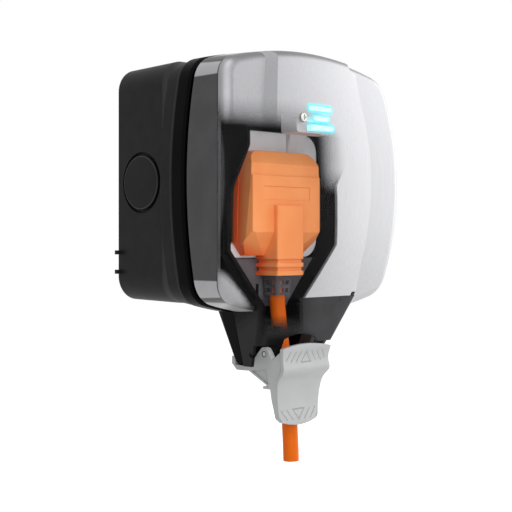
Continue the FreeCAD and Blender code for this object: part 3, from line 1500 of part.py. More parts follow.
write("cord_clamp", cord_clamp())
write("cord_boot", cord_boot())
write("cord_tail", rod_z(0, cord_depth_at_plug, boot_bottom_z, cord_tail_top_z, cord_radius))
write("cord", cord())
lid_skirt, lid_front = lid_shells()
for i in range(3):
    lid_front = lid_front.cut(light_bar(i, bar_clearance))
lid_front = lid_front.cut(rod_y(lid_screw_x, lid_screw_z, 0, far, screw_pilot_radius))
lid_front = lid_front.cut(rod_y(lid_screw_x, lid_screw_z, lid_screw_seat, far,
                                lid_screw_head_radius + 0.2))
write("lid_skirt", lid_skirt)
write("lid_front", lid_front)
write("lid_chute", lid_chute())
write("light_bars", *[light_bar(i) for i in range(3)])
write("light_board", light_board())
write("light_cover", light_cover())
write("lid_screw", lid_screw())
write("hinge_pin", rod_x(-knuckle_outer_x, knuckle_outer_x, hinge_depth, hinge_z, hinge_pin_radius))
write("latch", latch())
write("latch_pins", *latch_pins())
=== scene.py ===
# %% [markdown]
# # Weatherproof wall socket
# The CAD model gives every solid its place. This script dresses it: it sets the camera and the
# light, draws the cord as a smooth round tube and gives each solid its finish. Everything is in
# metres, with the wall at Y = 0 and the front facing -Y.

import json
import math

import bmesh
import bpy
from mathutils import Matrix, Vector


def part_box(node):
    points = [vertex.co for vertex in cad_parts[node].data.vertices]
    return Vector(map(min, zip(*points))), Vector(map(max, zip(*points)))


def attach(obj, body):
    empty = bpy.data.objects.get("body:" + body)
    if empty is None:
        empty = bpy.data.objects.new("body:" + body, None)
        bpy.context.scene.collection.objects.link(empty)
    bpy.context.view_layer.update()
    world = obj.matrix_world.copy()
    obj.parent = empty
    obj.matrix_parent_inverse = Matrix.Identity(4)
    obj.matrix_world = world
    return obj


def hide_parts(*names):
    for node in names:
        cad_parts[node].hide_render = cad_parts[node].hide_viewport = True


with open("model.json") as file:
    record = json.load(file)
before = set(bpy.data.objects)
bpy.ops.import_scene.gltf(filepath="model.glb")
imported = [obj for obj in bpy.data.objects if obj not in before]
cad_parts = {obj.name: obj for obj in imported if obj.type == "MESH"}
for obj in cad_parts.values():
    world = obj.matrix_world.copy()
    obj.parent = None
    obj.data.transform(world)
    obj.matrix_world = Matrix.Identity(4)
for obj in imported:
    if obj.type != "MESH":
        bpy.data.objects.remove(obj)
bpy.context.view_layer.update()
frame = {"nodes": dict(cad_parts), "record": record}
slot_of = {part["node"]: part["material_slot"] for part in frame["record"]["subparts"]}
mm = 0.001

# %% [markdown]
# ## Camera
# The photograph looks level at the socket from 44.5 degrees left of its front, through a long
# lens. The picture is 512 pixels square, and its horizon lies 16 pixels above the middle, which
# a small vertical shift gives.

# %% Camera
picture_pixels = 512
focal_pixels = 1100
horizon_rise_pixels = 16
camera_turn_degrees = -44.5
camera_data = bpy.data.cameras.new("camera")
camera_data.sensor_width = 36.0
camera_data.lens = camera_data.sensor_width * focal_pixels / picture_pixels
camera_data.shift_y = -horizon_rise_pixels / picture_pixels
camera_data.clip_start = 0.01
camera = bpy.data.objects.new("camera", camera_data)
camera.location = (-0.41893, -0.47502, -0.03015)
camera.rotation_euler = (math.radians(90), 0, math.radians(camera_turn_degrees))
bpy.context.scene.collection.objects.link(camera)
bpy.context.scene.camera = camera
print("lens, mm:", round(camera_data.lens, 2))

# %% [markdown]
# ## Cord
# The cord leaves the foot of the boot, hangs straight down for a few millimetres and then leans
# forwards on its way out under the latch. It is a round tube on one smooth curve: a NURBS spline
# whose control points are the four points of the route. A curve bends more evenly than a tube
# made of straight runs and arcs.

# %% Cord
cord_radius = 4.15 * mm
cord_route = [
    (0.0, -64.8, -59.2),
    (0.0, -64.8, -68.0),
    (1.0, -73.4, -120.0),
    (1.3, -73.8, -146.5),
]


def route_curve(name, route, radius):
    """A round tube along a route given in millimetres."""
    curve = bpy.data.curves.new(name, "CURVE")
    curve.dimensions = "3D"
    curve.bevel_depth = radius
    curve.bevel_resolution = 10
    curve.use_fill_caps = True
    spline = curve.splines.new("NURBS")
    spline.points.add(len(route) - 1)
    for point, place in zip(spline.points, route):
        point.co = (*(mm * value for value in place), 1.0)
    spline.order_u = 3
    spline.use_endpoint_u = True
    spline.resolution_u = 24
    curve_object = bpy.data.objects.new(name, curve)
    bpy.context.scene.collection.objects.link(curve_object)
    return curve_object


power_cord = route_curve("power_cord", cord_route, cord_radius)
print("cord control points:", len(cord_route))

# %% [markdown]
# ## Colours and nodes
# Colours are written as sRGB hex values, as a paint chart gives them, and one function turns
# them to the linear values that the renderer works in. One helper adds a shader node with its
# settings and its links, so that each finish reads as a list of what it is made of.

# %% Colours and nodes


def linear(hex_colour):
    """An sRGB hex colour as linear red, green, blue and alpha."""
    channels = [int(hex_colour[i:i + 2], 16) / 255 for i in (1, 3, 5)]
    return (*[c / 12.92 if c <= 0.04045 else ((c + 0.055) / 1.055) ** 2.4 for c in channels], 1.0)


def add_node(tree, kind, links=None, **settings):
    """A node with its settings; links maps an input's name or number to a socket or a value."""
    node = tree.nodes.new(kind)
    for name, value in settings.items():
        setattr(node, name, value)
    for name, value in (links or {}).items():
        if isinstance(value, bpy.types.NodeSocket):
            tree.links.new(value, node.inputs[name])
        else:
            node.inputs[name].default_value = value
    return node


print("hex #808080 is linear", round(linear("#808080")[0], 3))

# %% [markdown]
# ## Finishes
# Every finish starts the same way: a Principled shader with one roughness, and the object's own
# coordinates, which keep a pattern in its place while a joint turns the piece. The finishes are
# kept by the name of their slot, or by the name of a node that has a finish of its own.

# %% Start of a finish
finishes = {}


def new_finish(name, roughness, **values):
    """A material with its node tree, its Principled shader and the object's own coordinates."""
    material = bpy.data.materials.new(name)
    material.use_nodes = True
    tree = material.node_tree
    shader = tree.nodes["Principled BSDF"]
    shader.inputs["Roughness"].default_value = roughness
    for socket, value in values.items():
        shader.inputs[socket.replace("_", " ")].default_value = value
    place = add_node(tree, "ShaderNodeTexCoord").outputs["Object"]
    return material, tree, shader, place


print("finishes made so far:", len(finishes))

# %% [markdown]
# No moulded or rolled surface has quite the same shade all over. Soft blotches between two near
# shades break it up, each material at its own size. Fine grain from the mould is a bump: it
# changes how light falls and leaves the shape alone. A bevel node makes edges look slightly
# rounded where the solid has them sharp.

# %% Blotches and grain


def per_metre(size_mm):
    """The scale of a noise texture whose blotches are about this size."""
    return 1.0 / (size_mm * mm)


def mottle(tree, place, low, high, size_mm):
    """Two shades of one colour, mixed in soft blotches."""
    cloud = add_node(tree, "ShaderNodeTexNoise",
                     {"Vector": place, "Scale": per_metre(size_mm), "Detail": 3.0})
    ramp = add_node(tree, "ShaderNodeValToRGB", {"Fac": cloud.outputs["Fac"]})
    for element, position, hex_colour in zip(ramp.color_ramp.elements, (0.35, 0.65), (low, high)):
        element.position = position
        element.color = linear(hex_colour)
    return ramp.outputs["Color"]


def grain(tree, shader, place, size_mm, height_mm, strength, edge_mm=0.0):
    """Fine moulded grain as bump, over edges that look slightly rounded."""
    cloud = add_node(tree, "ShaderNodeTexNoise",
                     {"Vector": place, "Scale": per_metre(size_mm), "Detail": 2.0})
    links = {"Height": cloud.outputs["Fac"], "Strength": strength, "Distance": height_mm * mm}
    if edge_mm:
        rounded = add_node(tree, "ShaderNodeBevel", {"Radius": edge_mm * mm}, samples=6)
        links["Normal"] = rounded.outputs["Normal"]
    bump = add_node(tree, "ShaderNodeBump", links)
    tree.links.new(bump.outputs["Normal"], shader.inputs["Normal"])


print("blotches of 10 mm have the scale", round(per_metre(10.0)))

# %% [markdown]
# ## Masks
# A mask is a number from 0 to 1 at each place of a surface. It says where a second colour is laid
# over the first. Masks are joined by plain arithmetic: the greater of two is either, the smaller
# is both. A line that runs round the object is a mask on one coordinate, and a ring round a hole
# is a mask on the distance from the hole's axis.

# %% Masks
soft_end_mm = 0.15


def join(tree, operation, *sockets):
    """Several masks joined by one operation, such as MAXIMUM or MINIMUM."""
    result = sockets[0]
    for socket in sockets[1:]:
        result = add_node(tree, "ShaderNodeMath", {0: result, 1: socket},
                          operation=operation).outputs[0]
    return result


def between(tree, length, low_mm, high_mm):
    """1 where a length lies between two limits, with soft ends."""
    rise = add_node(tree, "ShaderNodeMapRange", {
        "Value": length, "From Min": (low_mm - soft_end_mm) * mm, "From Max": low_mm * mm})
    fall = add_node(tree, "ShaderNodeMapRange", {
        "Value": length, "From Min": high_mm * mm, "From Max": (high_mm + soft_end_mm) * mm,
        "To Min": 1.0, "To Max": 0.0})
    return join(tree, "MINIMUM", rise.outputs["Result"], fall.outputs["Result"])


def tint(tree, mask, colour, hex_colour):
    """A colour with another one laid over it where the mask is 1."""
    mixed = add_node(tree, "ShaderNodeMix", {0: mask, 6: colour, 7: linear(hex_colour)},
                     data_type="RGBA")
    return mixed.outputs[2]


def from_axis(tree, place, y, z):
    """The distance from an axis that runs along X at a place given in metres of Y and Z."""
    arm = add_node(tree, "ShaderNodeVectorMath", {0: place, 1: (0, y, z)},
                   operation="SUBTRACT")
    flat = add_node(tree, "ShaderNodeVectorMath", {0: arm.outputs[0], 1: (0, 1, 1)},
                    operation="MULTIPLY")
    return add_node(tree, "ShaderNodeVectorMath", {0: flat.outputs[0]},
                    operation="LENGTH").outputs["Value"]


print("soft ends of a line, mm:", soft_end_mm)

# %% [markdown]
# ## Black moulded plastic
# The back box, its entry caps and the front frame with the chute's rear half are
# injection-moulded polycarbonate. The mould of the box is spark eroded, which leaves an even fine
# grain: the black looks dark grey where light grazes it and has no sharp reflections. The frame
# round the plug chamber is polished, and its black is the deepest, partly its own black and partly
# painted shade for the chamber that it lines. Grain of 0.7 mm is coarser than the real 0.1 mm, so
# that it shows at all. Thin lines are laid over the colour: painted shade, nearly black, in the
# groove between box and frame and in the ring round each entry cap, and paler painted highlights
# on the edges beside them.

# %% Black moulded plastic
entry_y = -20.3 * mm
blacks = {
    "box_plastic": ("black eroded polycarbonate", "#161617", "#1c1c1d", 0.5, 0.1, 0.3),
    "cap_plastic": ("black smooth polycarbonate", "#131314", "#19191a", 0.45, 0.1, 0.3),
    # The front frame's near-black is partly painted shade for the chamber that it lines.
    "front_frame": ("black polished polycarbonate", "#030303", "#060607", 0.4, 0.03, 0.1),
}
# Each line, dark for painted shade and pale for a painted highlight, has the length it is measured
# by, its two limits in millimetres and its colour.
shade_and_highlight_lines = {
    "box_plastic": [("depth", -53.2, -52.0, "#020202"), ("depth", -51.9, -51.3, "#303031"),
                    ("from entry", 14.3, 16.1, "#030303")],
    "cap_plastic": [("from entry", 13.6, 14.0, "#3c3c3d")],
    "front_frame": [("depth", -54.5, -53.6, "#2e2e2f")],
}
for slot_name, (name, low, high, roughness, specular, strength) in blacks.items():
    material, tree, shader, place = new_finish(name, roughness, Specular_IOR_Level=specular)
    colour = mottle(tree, place, low, high, 9.0)
    depth = add_node(tree, "ShaderNodeSeparateXYZ", {"Vector": place}).outputs["Y"]
    # Painted shade in the groove and round the caps, and painted highlights on the edges beside
    # them.
    for measure, low_mm, high_mm, hex_colour in shade_and_highlight_lines[slot_name]:
        length = depth if measure == "depth" else from_axis(tree, place, entry_y, 0)
        colour = tint(tree, between(tree, length, low_mm, high_mm), colour, hex_colour)
    tree.links.new(colour, shader.inputs["Base Color"])
    grain(tree, shader, place, 0.7, 0.01, strength, edge_mm=0.5)
    finishes[slot_name] = material
print("black finishes:", sorted(finishes))

# %% [markdown]
# ## Brushed metal coat that fades to clear
# The lid's front is a clear moulding with a brushed metal coat. The coat fades away over the
# plug chamber, so the plug shows through. Each border of the clear window is a line in the X-Z
# plane: the signed distance from the line, run through a smooth step as wide as the border is
# soft. A line is given by the direction in which it lies and its distance from the middle, or by
# two of its points.

# %% Borders of a clear window
left = Vector((-1, 0, 0))
right = Vector((1, 0, 0))
up = Vector((0, 0, 1))
down = Vector((0, 0, -1))


def past_line(tree, place, away, offset_mm, softness_mm):
    """1 past the line that lies offset_mm from the middle in the direction away, 0 before it."""
    distance = add_node(tree, "ShaderNodeVectorMath", {0: place, 1: away}, operation="DOT_PRODUCT")
    step = add_node(tree, "ShaderNodeMapRange",
                    {"Value": distance.outputs["Value"],
                     "From Min": (offset_mm - softness_mm / 2) * mm,
                     "From Max": (offset_mm + softness_mm / 2) * mm},
                    interpolation_type="SMOOTHSTEP")
    return step.outputs["Result"]


def left_of_line(tree, place, start, end, softness_mm):
    """1 to the left of the line through two points, in millimetres of X and Z, 0 to its right."""
    along = Vector((end[0] - start[0], end[1] - start[1])).normalized()
    away = Vector((-along.y, 0.0, along.x))
    return past_line(tree, place, away, away.dot(Vector((start[0], 0.0, start[1]))), softness_mm)


print("directions in the X-Z plane:", [tuple(way) for way in (left, right, up, down)])

# %% [markdown]
# The coat is whatever lies outside any of the borders. Above the plug it fades over 15 to 17 mm,
# as a sprayed coat does; beside and below the plug its borders are 1 to 5 mm wide. A wide haze
# lies over the upper right, and the bevel at the left rim carries a thin veil.

# %% Metal coat of the lid
bevel_veil = 0.16
least_coat = 0.012


def lid_coat(tree, place):
    """How much metal coat there is at a place on the lid's front."""
    top = past_line(tree, place, up, 32.0, 17.0)
    top_right = left_of_line(tree, place, (-2.0, 29.0), (22.0, 9.0), 15.0)
    haze = join(tree, "MULTIPLY", past_line(tree, place, right, 5.6, 23.0),
                past_line(tree, place, up, 0.0, 16.0))
    right_side = join(tree, "MINIMUM",
                      left_of_line(tree, place, (8.3, -4.4), (10.6, -31.7), 1.2),
                      left_of_line(tree, place, (19.1, 15.9), (7.5, -2.9), 1.2))
    low_right = left_of_line(tree, place, (9.5, -34.3), (-8.4, -60.2), 1.2)
    low_left = left_of_line(tree, place, (-42.3, -62.6), (-66.6, -42.4), 4.5)
    bevel = join(tree, "MULTIPLY", past_line(tree, place, left, 65.3, 1.6), bevel_veil)
    return join(tree, "MAXIMUM", top, top_right, haze, right_side, low_right, low_left, bevel,
                least_coat)


print("the bevel carries", bevel_veil, "of the coat")

# %% [markdown]
# The coat lets light in more freely than it lets the eye see in. A ray on its way from a lamp or
# from a matt surface meets a tenth of the coat, so the plug behind it is lit almost as in the
# open.

# %% Coat as light meets it
coat_for_light = 0.1


def thin_coat(tree, coat):
    """The coat as light meets it on its way in: it is thin enough to let most of it pass."""
    path = add_node(tree, "ShaderNodeLightPath")
    on_its_way = join(tree, "MAXIMUM", path.outputs["Is Shadow Ray"],
                      path.outputs["Is Diffuse Ray"])
    passed = add_node(tree, "ShaderNodeMapRange", {
        "Value": on_its_way, "To Min": 1.0, "To Max": coat_for_light})
    return join(tree, "MULTIPLY", coat, passed.outputs["Result"])


print("share of the coat that light meets:", coat_for_light)

# %% [markdown]
# Three lit bars sit in the coat, and their light spills a few millimetres over the metal round
# them. The distance to a bar is that to a level line along its middle, which stops half a bar's
# height short of its ends, so that the spill is round there.

# %% Light that spills round the bars
# The middle of each bar in X and Z, and half its width, in millimetres.
bar_middles = ((-1.5, 36.8, 8.5), (-1.5, 31.6, 5.6), (-1.5, 26.9, 8.6))
bar_half_height = 1.25
spill_start = 1.1 * mm
spill_end = 3.3 * mm


def bar_halo(tree, place):
    """How strongly the bars' light falls on the coat, from 0 to 1."""
    spills = []
    for x, z, half_width in bar_middles:
        offset = add_node(tree, "ShaderNodeVectorMath", {0: place, 1: (x * mm, 0, z * mm)},
                          operation="SUBTRACT")
        flat = add_node(tree, "ShaderNodeVectorMath", {0: offset.outputs[0], 1: (1, 0, 1)},
                        operation="MULTIPLY")
        size = add_node(tree, "ShaderNodeVectorMath", {0: flat.outputs[0]}, operation="ABSOLUTE")
        overhang = add_node(tree, "ShaderNodeVectorMath", {
            0: size.outputs[0], 1: ((half_width - bar_half_height) * mm, 0, 0)},
            operation="SUBTRACT")
        beyond = add_node(tree, "ShaderNodeVectorMath", {0: overhang.outputs[0], 1: (0, 0, 0)},
                          operation="MAXIMUM")
        distance = add_node(tree, "ShaderNodeVectorMath", {0: beyond.outputs[0]},
                            operation="LENGTH")
        spill = add_node(tree, "ShaderNodeMapRange", {
            "Value": distance.outputs["Value"], "From Min": spill_start, "From Max": spill_end,
            "To Min": 1.0, "To Max": 0.0}, interpolation_type="SMOOTHSTEP")
        spills.append(spill.outputs["Result"])
    return join(tree, "MAXIMUM", *spills)


print("bars:", len(bar_middles))

# %% [markdown]
# Between the lid's front and its skirt runs a seam. It lies on a drum 240 mm in radius whose
# axis is level, so a place is near the seam where its distance from that axis is near 240 mm.
# The shadow in the seam is drawn as a thin dark line.

# %% Seam between front and skirt
seam_axis_y = 149.3 * mm
seam_radius = 240.0 * mm
seam_line_mm = 0.55


def thin_line(tree, distance, width_mm):
    """1 within a quarter of the width of zero distance, falling off softly to 0."""
    away = add_node(tree, "ShaderNodeMath", {0: distance}, operation="ABSOLUTE")
    line = add_node(tree, "ShaderNodeMapRange", {
        "Value": away.outputs[0], "From Min": 0.25 * width_mm * mm, "From Max": 0.75 * width_mm * mm,
        "To Min": 1.0, "To Max": 0.0}, interpolation_type="SMOOTHSTEP")
    return line.outputs["Result"]


def near_seam(tree, place):
    """1 in the seam line and 0 away from it."""
    distance = join(tree, "SUBTRACT", from_axis(tree, place, seam_axis_y, 0), seam_radius)
    return thin_line(tree, distance, seam_line_mm)


print("seam radius, mm:", round(seam_radius / mm))

# %% [markdown]
# The coat is aluminium, laid on as vapour and brushed up and down. The brushing is noise
# stretched along Z: real scratches are about 0.1 mm wide, which is too fine for a picture, so
# they are drawn 0.45 mm wide and 25 mm long. They change the colour a little, the roughness more,
# and the surface itself hardly at all. The metal is painted brighter from left to right, as painted
# light for the light that falls from the right.

# %% Brushing of the coat
scratch_width_mm = 0.45
scratch_length_mm = 25.0
coat_material, tree, shader, place = new_finish("brushed aluminium vapour coat", 0.36,
                                                Metallic=0.85)
across_scratch = per_metre(scratch_width_mm)
stretched = add_node(tree, "ShaderNodeMapping", {
    "Vector": place, "Scale": (across_scratch, across_scratch, per_metre(scratch_length_mm))})
scratches = add_node(tree, "ShaderNodeTexNoise", {
    "Vector": stretched.outputs["Vector"], "Scale": 1.0, "Detail": 3.0}).outputs["Fac"]
rough = add_node(tree, "ShaderNodeMapRange", {"Value": scratches, "To Min": 0.36, "To Max": 0.5})
tree.links.new(rough.outputs["Result"], shader.inputs["Roughness"])
bump = add_node(tree, "ShaderNodeBump", {
    "Height": scratches, "Strength": 0.25, "Distance": 0.02 * mm})
tree.links.new(bump.outputs["Normal"], shader.inputs["Normal"])
# Painted light: a dimmer metal on the left and a brighter one on the right, where more light falls.
shaded_metal = tint(tree, scratches, linear("#88888b"), "#9f9fa2")
lit_metal = tint(tree, scratches, linear("#adadb0"), "#c8c8cb")
metal = add_node(tree, "ShaderNodeMix", {
    0: past_line(tree, place, right, 8.0, 120.0), 6: shaded_metal, 7: lit_metal},
    data_type="RGBA").outputs[2]
print("scratches are", scratch_width_mm, "mm wide and", scratch_length_mm, "mm long")

# %% [markdown]
# The brushed metal is painted darker where it curves away to the left, to the right or upwards,
# and on the low margin right of the raised panel, as painted shade where less light falls. The
# direction in which the surface faces gives that. The left rim, which catches the light, is spared
# from it.

# %% Painted shade on the curves of the coat
right_turn_share = 0.8
rim_light = 0.45
deepest_shade = 0.5
margin_shade = 0.15
normal = add_node(tree, "ShaderNodeTexCoord").outputs["Normal"]
facing = add_node(tree, "ShaderNodeSeparateXYZ", {"Vector": normal})
turned = join(tree, "MAXIMUM", join(tree, "MULTIPLY", facing.outputs["X"], -1.0),
              join(tree, "MULTIPLY", facing.outputs["X"], right_turn_share),
              facing.outputs["Z"])
left_rim = past_line(tree, place, left, 56.0, 6.0)
turned = join(tree, "SUBTRACT", turned, join(tree, "MULTIPLY", left_rim, rim_light))
steep_shade = add_node(tree, "ShaderNodeMapRange", {
    "Value": turned, "From Min": 0.3, "From Max": 0.8, "To Min": 0.0, "To Max": deepest_shade},
    interpolation_type="SMOOTHSTEP")
beyond_panel = past_line(tree, place, right, 36.5, 2.0)
# Painted shade where the surface turns away, and on the margin beyond the panel.
painted_shade = join(tree, "MAXIMUM", steep_shade.outputs["Result"],
              join(tree, "MULTIPLY", beyond_panel, margin_shade))
metal = tint(tree, painted_shade, metal, "#3c3c3f")
print("deepest shade of the coat:", deepest_shade)

# %% [markdown]
# The bars' light tints the metal round them and makes it glow a little, the seam draws its dark
# line, and the borders of the clear window become the material's alpha.

# %% Brushed metal coat
halo_glow = 0.15
halo = bar_halo(tree, place)
metal = tint(tree, halo, metal, "#4fd2e0")
metal = tint(tree, near_seam(tree, place), metal, "#1c1c1e")
tree.links.new(metal, shader.inputs["Base Color"])
tree.links.new(thin_coat(tree, lid_coat(tree, place)), shader.inputs["Alpha"])
tree.links.new(join(tree, "MULTIPLY", halo, halo_glow), shader.inputs["Emission Strength"])
shader.inputs["Emission Color"].default_value = linear("#21c6dd")
finishes["lid_metal"] = coat_material
print("brushed coat nodes:", len(tree.nodes))

# %% [markdown]
# ## Skirt
# The skirt is the moulded band behind the lid's front. Its two tones are partly its own colour and
# partly painted reflection: the outside of its ends, above and below the chamber, is light grey
# like the metal, with a sharp border, and the middle of each side and the inside are painted dark,
# as a painted reflection of the dark surroundings. Lines in the X-Z plane limit the light grey: it
# lies more than 50 mm above or below the middle, and only on the outer faces.

# %% Skirt
light_grey_border_mm = 0.8
light_grey_from = ((up, 50.0), (down, 50.0))
outer_faces = ((left, 58.0), (right, 58.0), (up, 61.0), (down, 61.0))
material, tree, shader, place = new_finish("moulded skirt with painted reflection", 0.38,
                                           Specular_IOR_Level=0.35)
ends, rim = [
    join(tree, "MAXIMUM", *[past_line(tree, place, away, offset_mm, light_grey_border_mm)
                            for away, offset_mm in limits])
    for limits in (light_grey_from, outer_faces)]
# Light grey ends like the metal, and dark sides as painted reflection of the dark surroundings.
two_tones = add_node(tree, "ShaderNodeMix", {
    0: join(tree, "MULTIPLY", ends, rim), 6: mottle(tree, place, "#2f2f31", "#39393b", 14.0),
    7: mottle(tree, place, "#a3a3a6", "#adadb0", 14.0)}, data_type="RGBA")
lined = tint(tree, near_seam(tree, place), two_tones.outputs[2], "#141416")
tree.links.new(lined, shader.inputs["Base Color"])
grain(tree, shader, place, 0.5, 0.01, 0.4)
finishes["lid_plastic"] = material
print("faces that may carry paint:", len(outer_faces))

# %% [markdown]
# ## Chute front
# The front half of the cable chute is smoked plastic. It is nearly clear in a slanting band left
# of its middle, through which the cord behind it shows from the front left, and dense towards both
# sides and the foot. Its right side is paler, where light falls on it. The same kinds of border
# draw both.

# %% Chute front
least_smoke = 0.08
material, tree, shader, place = new_finish("smoked chute plastic", 0.34, Specular_IOR_Level=0.12)
smoke = join(tree, "MAXIMUM",
             left_of_line(tree, place, (-26.4, -79.6), (-35.8, -58.2), 4.0),
             left_of_line(tree, place, (-9.4, -59.2), (1.0, -81.4), 5.0),
             past_line(tree, place, down, 73.0, 15.0), least_smoke)
lit_side = add_node(tree, "ShaderNodeMix", {
    0: left_of_line(tree, place, (-4.0, -50.0), (6.0, -100.0), 16.0),
    6: mottle(tree, place, "#0c0c0d", "#121213", 16.0),
    7: mottle(tree, place, "#2c2c2e", "#363639", 16.0)}, data_type="RGBA")
tree.links.new(lit_side.outputs[2], shader.inputs["Base Color"])
tree.links.new(thin_coat(tree, smoke), shader.inputs["Alpha"])
grain(tree, shader, place, 0.5, 0.01, 0.3)
finishes["lid_chute"] = material
print("least smoke, in the clear band:", least_smoke)

# %% [markdown]
# ## Moulded plastics inside
# The socket's face and rocker are urea, which is hard, smooth and a little glossy, with a hint
# of warm grey. The housing behind them is plain white urea, and the clamp is fibre board, dull
# and speckled. The liner of the lower chamber is slate grey nylon, and the cover and the board of
# the light bars are plain greys. The strip of the face between plug and chamber wall lies in deep
# shade, which is laid over its colour. Real moulded grain is near 0.1 mm; it is drawn 0.4 mm wide
# to show.

# %% Plain plastics
plain_plastics = {
    "face_plastic": ("grey moulded urea, satin", "#e9e5e8", "#f0edef", 0.34, 12.0),
    "housing_plastic": ("white moulded urea", "#d2d1cd", "#dcdbd7", 0.4, 10.0),
    "rocker_plastic": ("grey moulded urea, gloss", "#dfdadc", "#e8e3e5", 0.22, 8.0),
    "clamp_plastic": ("grey fibre board", "#9c9a94", "#b3b0a9", 0.7, 1.2),
    "light_cover": ("grey satin light cover", "#a7a6aa", "#b1b0b4", 0.45, 8.0),
    "light_board_grey": ("grey lacquered board", "#a9a7aa", "#b3b1b4", 0.5, 6.0),
    "chamber_liner": ("slate moulded nylon", "#59575c", "#636167", 0.5, 16.0),
}
for slot_name, (name, low, high, roughness, size_mm) in plain_plastics.items():
    material, tree, shader, place = new_finish(name, roughness)
    colour = mottle(tree, place, low, high, size_mm)
    if slot_name == "face_plastic":
        beside_plug = join(tree, "MINIMUM", past_line(tree, place, left, 24.5, 3.0),
                           past_line(tree, place, down, -3.0, 8.0),
                           past_line(tree, place, up, -32.0, 2.0))
        colour = tint(tree, beside_plug, colour, "#2a1a15")
    tree.links.new(colour, shader.inputs["Base Color"])
    grain(tree, shader, place, 0.4, 0.008, 0.4, edge_mm=0.3)
    finishes[slot_name] = material
print("plain plastics:", len(plain_plastics))

# %% [markdown]
# ## Plug
# The plug is a tough nylon. Its mould is finely eroded, so it is satin. Its orange is its own paler
# shade on the front and is painted deeper towards the socket, as painted shade for the part of the
# plug that sits deep in the chamber. The change lies between 62 and 68 mm from the wall.

# %% Orange nylon of the plug
deep_orange_y = -62.0 * mm
pale_orange_y = -68.0 * mm
shade_share = 0.9
material, tree, shader, place = new_finish("orange eroded nylon", 0.42, Specular_IOR_Level=0.3)
depth = add_node(tree, "ShaderNodeSeparateXYZ", {"Vector": place}).outputs["Y"]
# Painted shade: the orange is laid deeper towards the wall.
rear = add_node(tree, "ShaderNodeMapRange", {
    "Value": depth, "From Min": pale_orange_y, "From Max": deep_orange_y, "To Max": shade_share})
orange = tint(tree, rear.outputs["Result"], mottle(tree, place, "#f29150", "#f89b5b", 18.0),
              "#f25400")
tree.links.new(orange, shader.inputs["Base Color"])
grain(tree, shader, place, 0.4, 0.02, 0.5, edge_mm=0.5)
finishes["plug_orange"] = material
print("the plug's orange deepens over, mm:", round((deep_orange_y - pale_orange_y) / mm, 1))

# %% [markdown]
# ## Rubbers and cord sheath
# The boot is a soft moulded vinyl, dull with a slight bloom. The seals are dull foam rubber. The
# cord's sheath is extruded rubber with a waxy shine. Each has its own size of blotch, and of grain
# with its height, in millimetres.

# %% Rubbers
soft_finishes = {
    "seal_rubber": ("black foamed rubber", "#161617", "#202021", 0.75, 2.0, 0.6, 0.03),
    "boot_rubber": ("dark grey soft vinyl", "#4e4e52", "#5b5b60", 0.55, 5.0, 0.4, 0.015),
    "cord_rubber": ("orange rubber sheath", "#d85e04", "#e2690b", 0.36, 14.0, 0.5, 0.01),
}
for slot_name, finish in soft_finishes.items():
    name, low, high, roughness, blotch_mm, grain_mm, height_mm = finish
    material, tree, shader, place = new_finish(name, roughness, Specular_IOR_Level=0.12)
    tree.links.new(mottle(tree, place, low, high, blotch_mm), shader.inputs["Base Color"])
    grain(tree, shader, place, grain_mm, height_mm, 0.5)
    finishes[slot_name] = material
print("soft finishes:", len(soft_finishes))

# %% [markdown]
# ## Metals
# The screws are zinc plated, the contacts rolled brass, the pins polished brass and the springs
# bright wire. Each is a full metal whose colour varies a little, with rolled or turned streaks
# in its roughness, drawn 0.5 mm wide because the real ones are too fine to show.

# %% Metals
metals = {
    "screw_steel": ("zinc-plated steel", "#b4b4ae", "#c9c9c4", 0.3),
    "contact_brass": ("rolled brass", "#bd9748", "#d2ad5c", 0.28),
    "spring_steel": ("bright drawn wire", "#b8b8bc", "#cdcdd1", 0.22),
    "pin_brass": ("polished brass", "#c9a75a", "#dcbc70", 0.16),
}
smoother = 0.06
rougher = 0.12
for slot_name, (name, low, high, roughness) in metals.items():
    material, tree, shader, place = new_finish(name, roughness, Metallic=1.0)
    tree.links.new(mottle(tree, place, low, high, 2.5), shader.inputs["Base Color"])
    streak = add_node(tree, "ShaderNodeTexNoise", {
        "Vector": place, "Scale": per_metre(0.5), "Detail": 4.0})
    spread = add_node(tree, "ShaderNodeMapRange", {
        "Value": streak.outputs["Fac"], "To Min": roughness - smoother,
        "To Max": roughness + rougher})
    tree.links.new(spread.outputs["Result"], shader.inputs["Roughness"])
    finishes[slot_name] = material
print("metals:", sorted(metals))

# %% [markdown]
# The two pins of the latch are passivated, which leaves a dull grey film. A bare metal there would
# mirror the black wall beside it and look like a hole, while the film keeps the pins' ends pale.

# %% Latch pins
material, tree, shader, place = new_finish("dull passivated steel", 0.6, Metallic=0.25)
tree.links.new(mottle(tree, place, "#c9c9c4", "#dadad6", 1.0), shader.inputs["Base Color"])
finishes["latch_pins"] = material
print("roughness of the latch pins:", round(shader.inputs["Roughness"].default_value, 2))

# %% [markdown]
# ## Fuse
# The fuse is a glazed ceramic tube, smooth and cream, with plated caps at its ends. The caps are
# whatever lies further from the middle than 0.27 of the fuse's length, and they alone are metal.

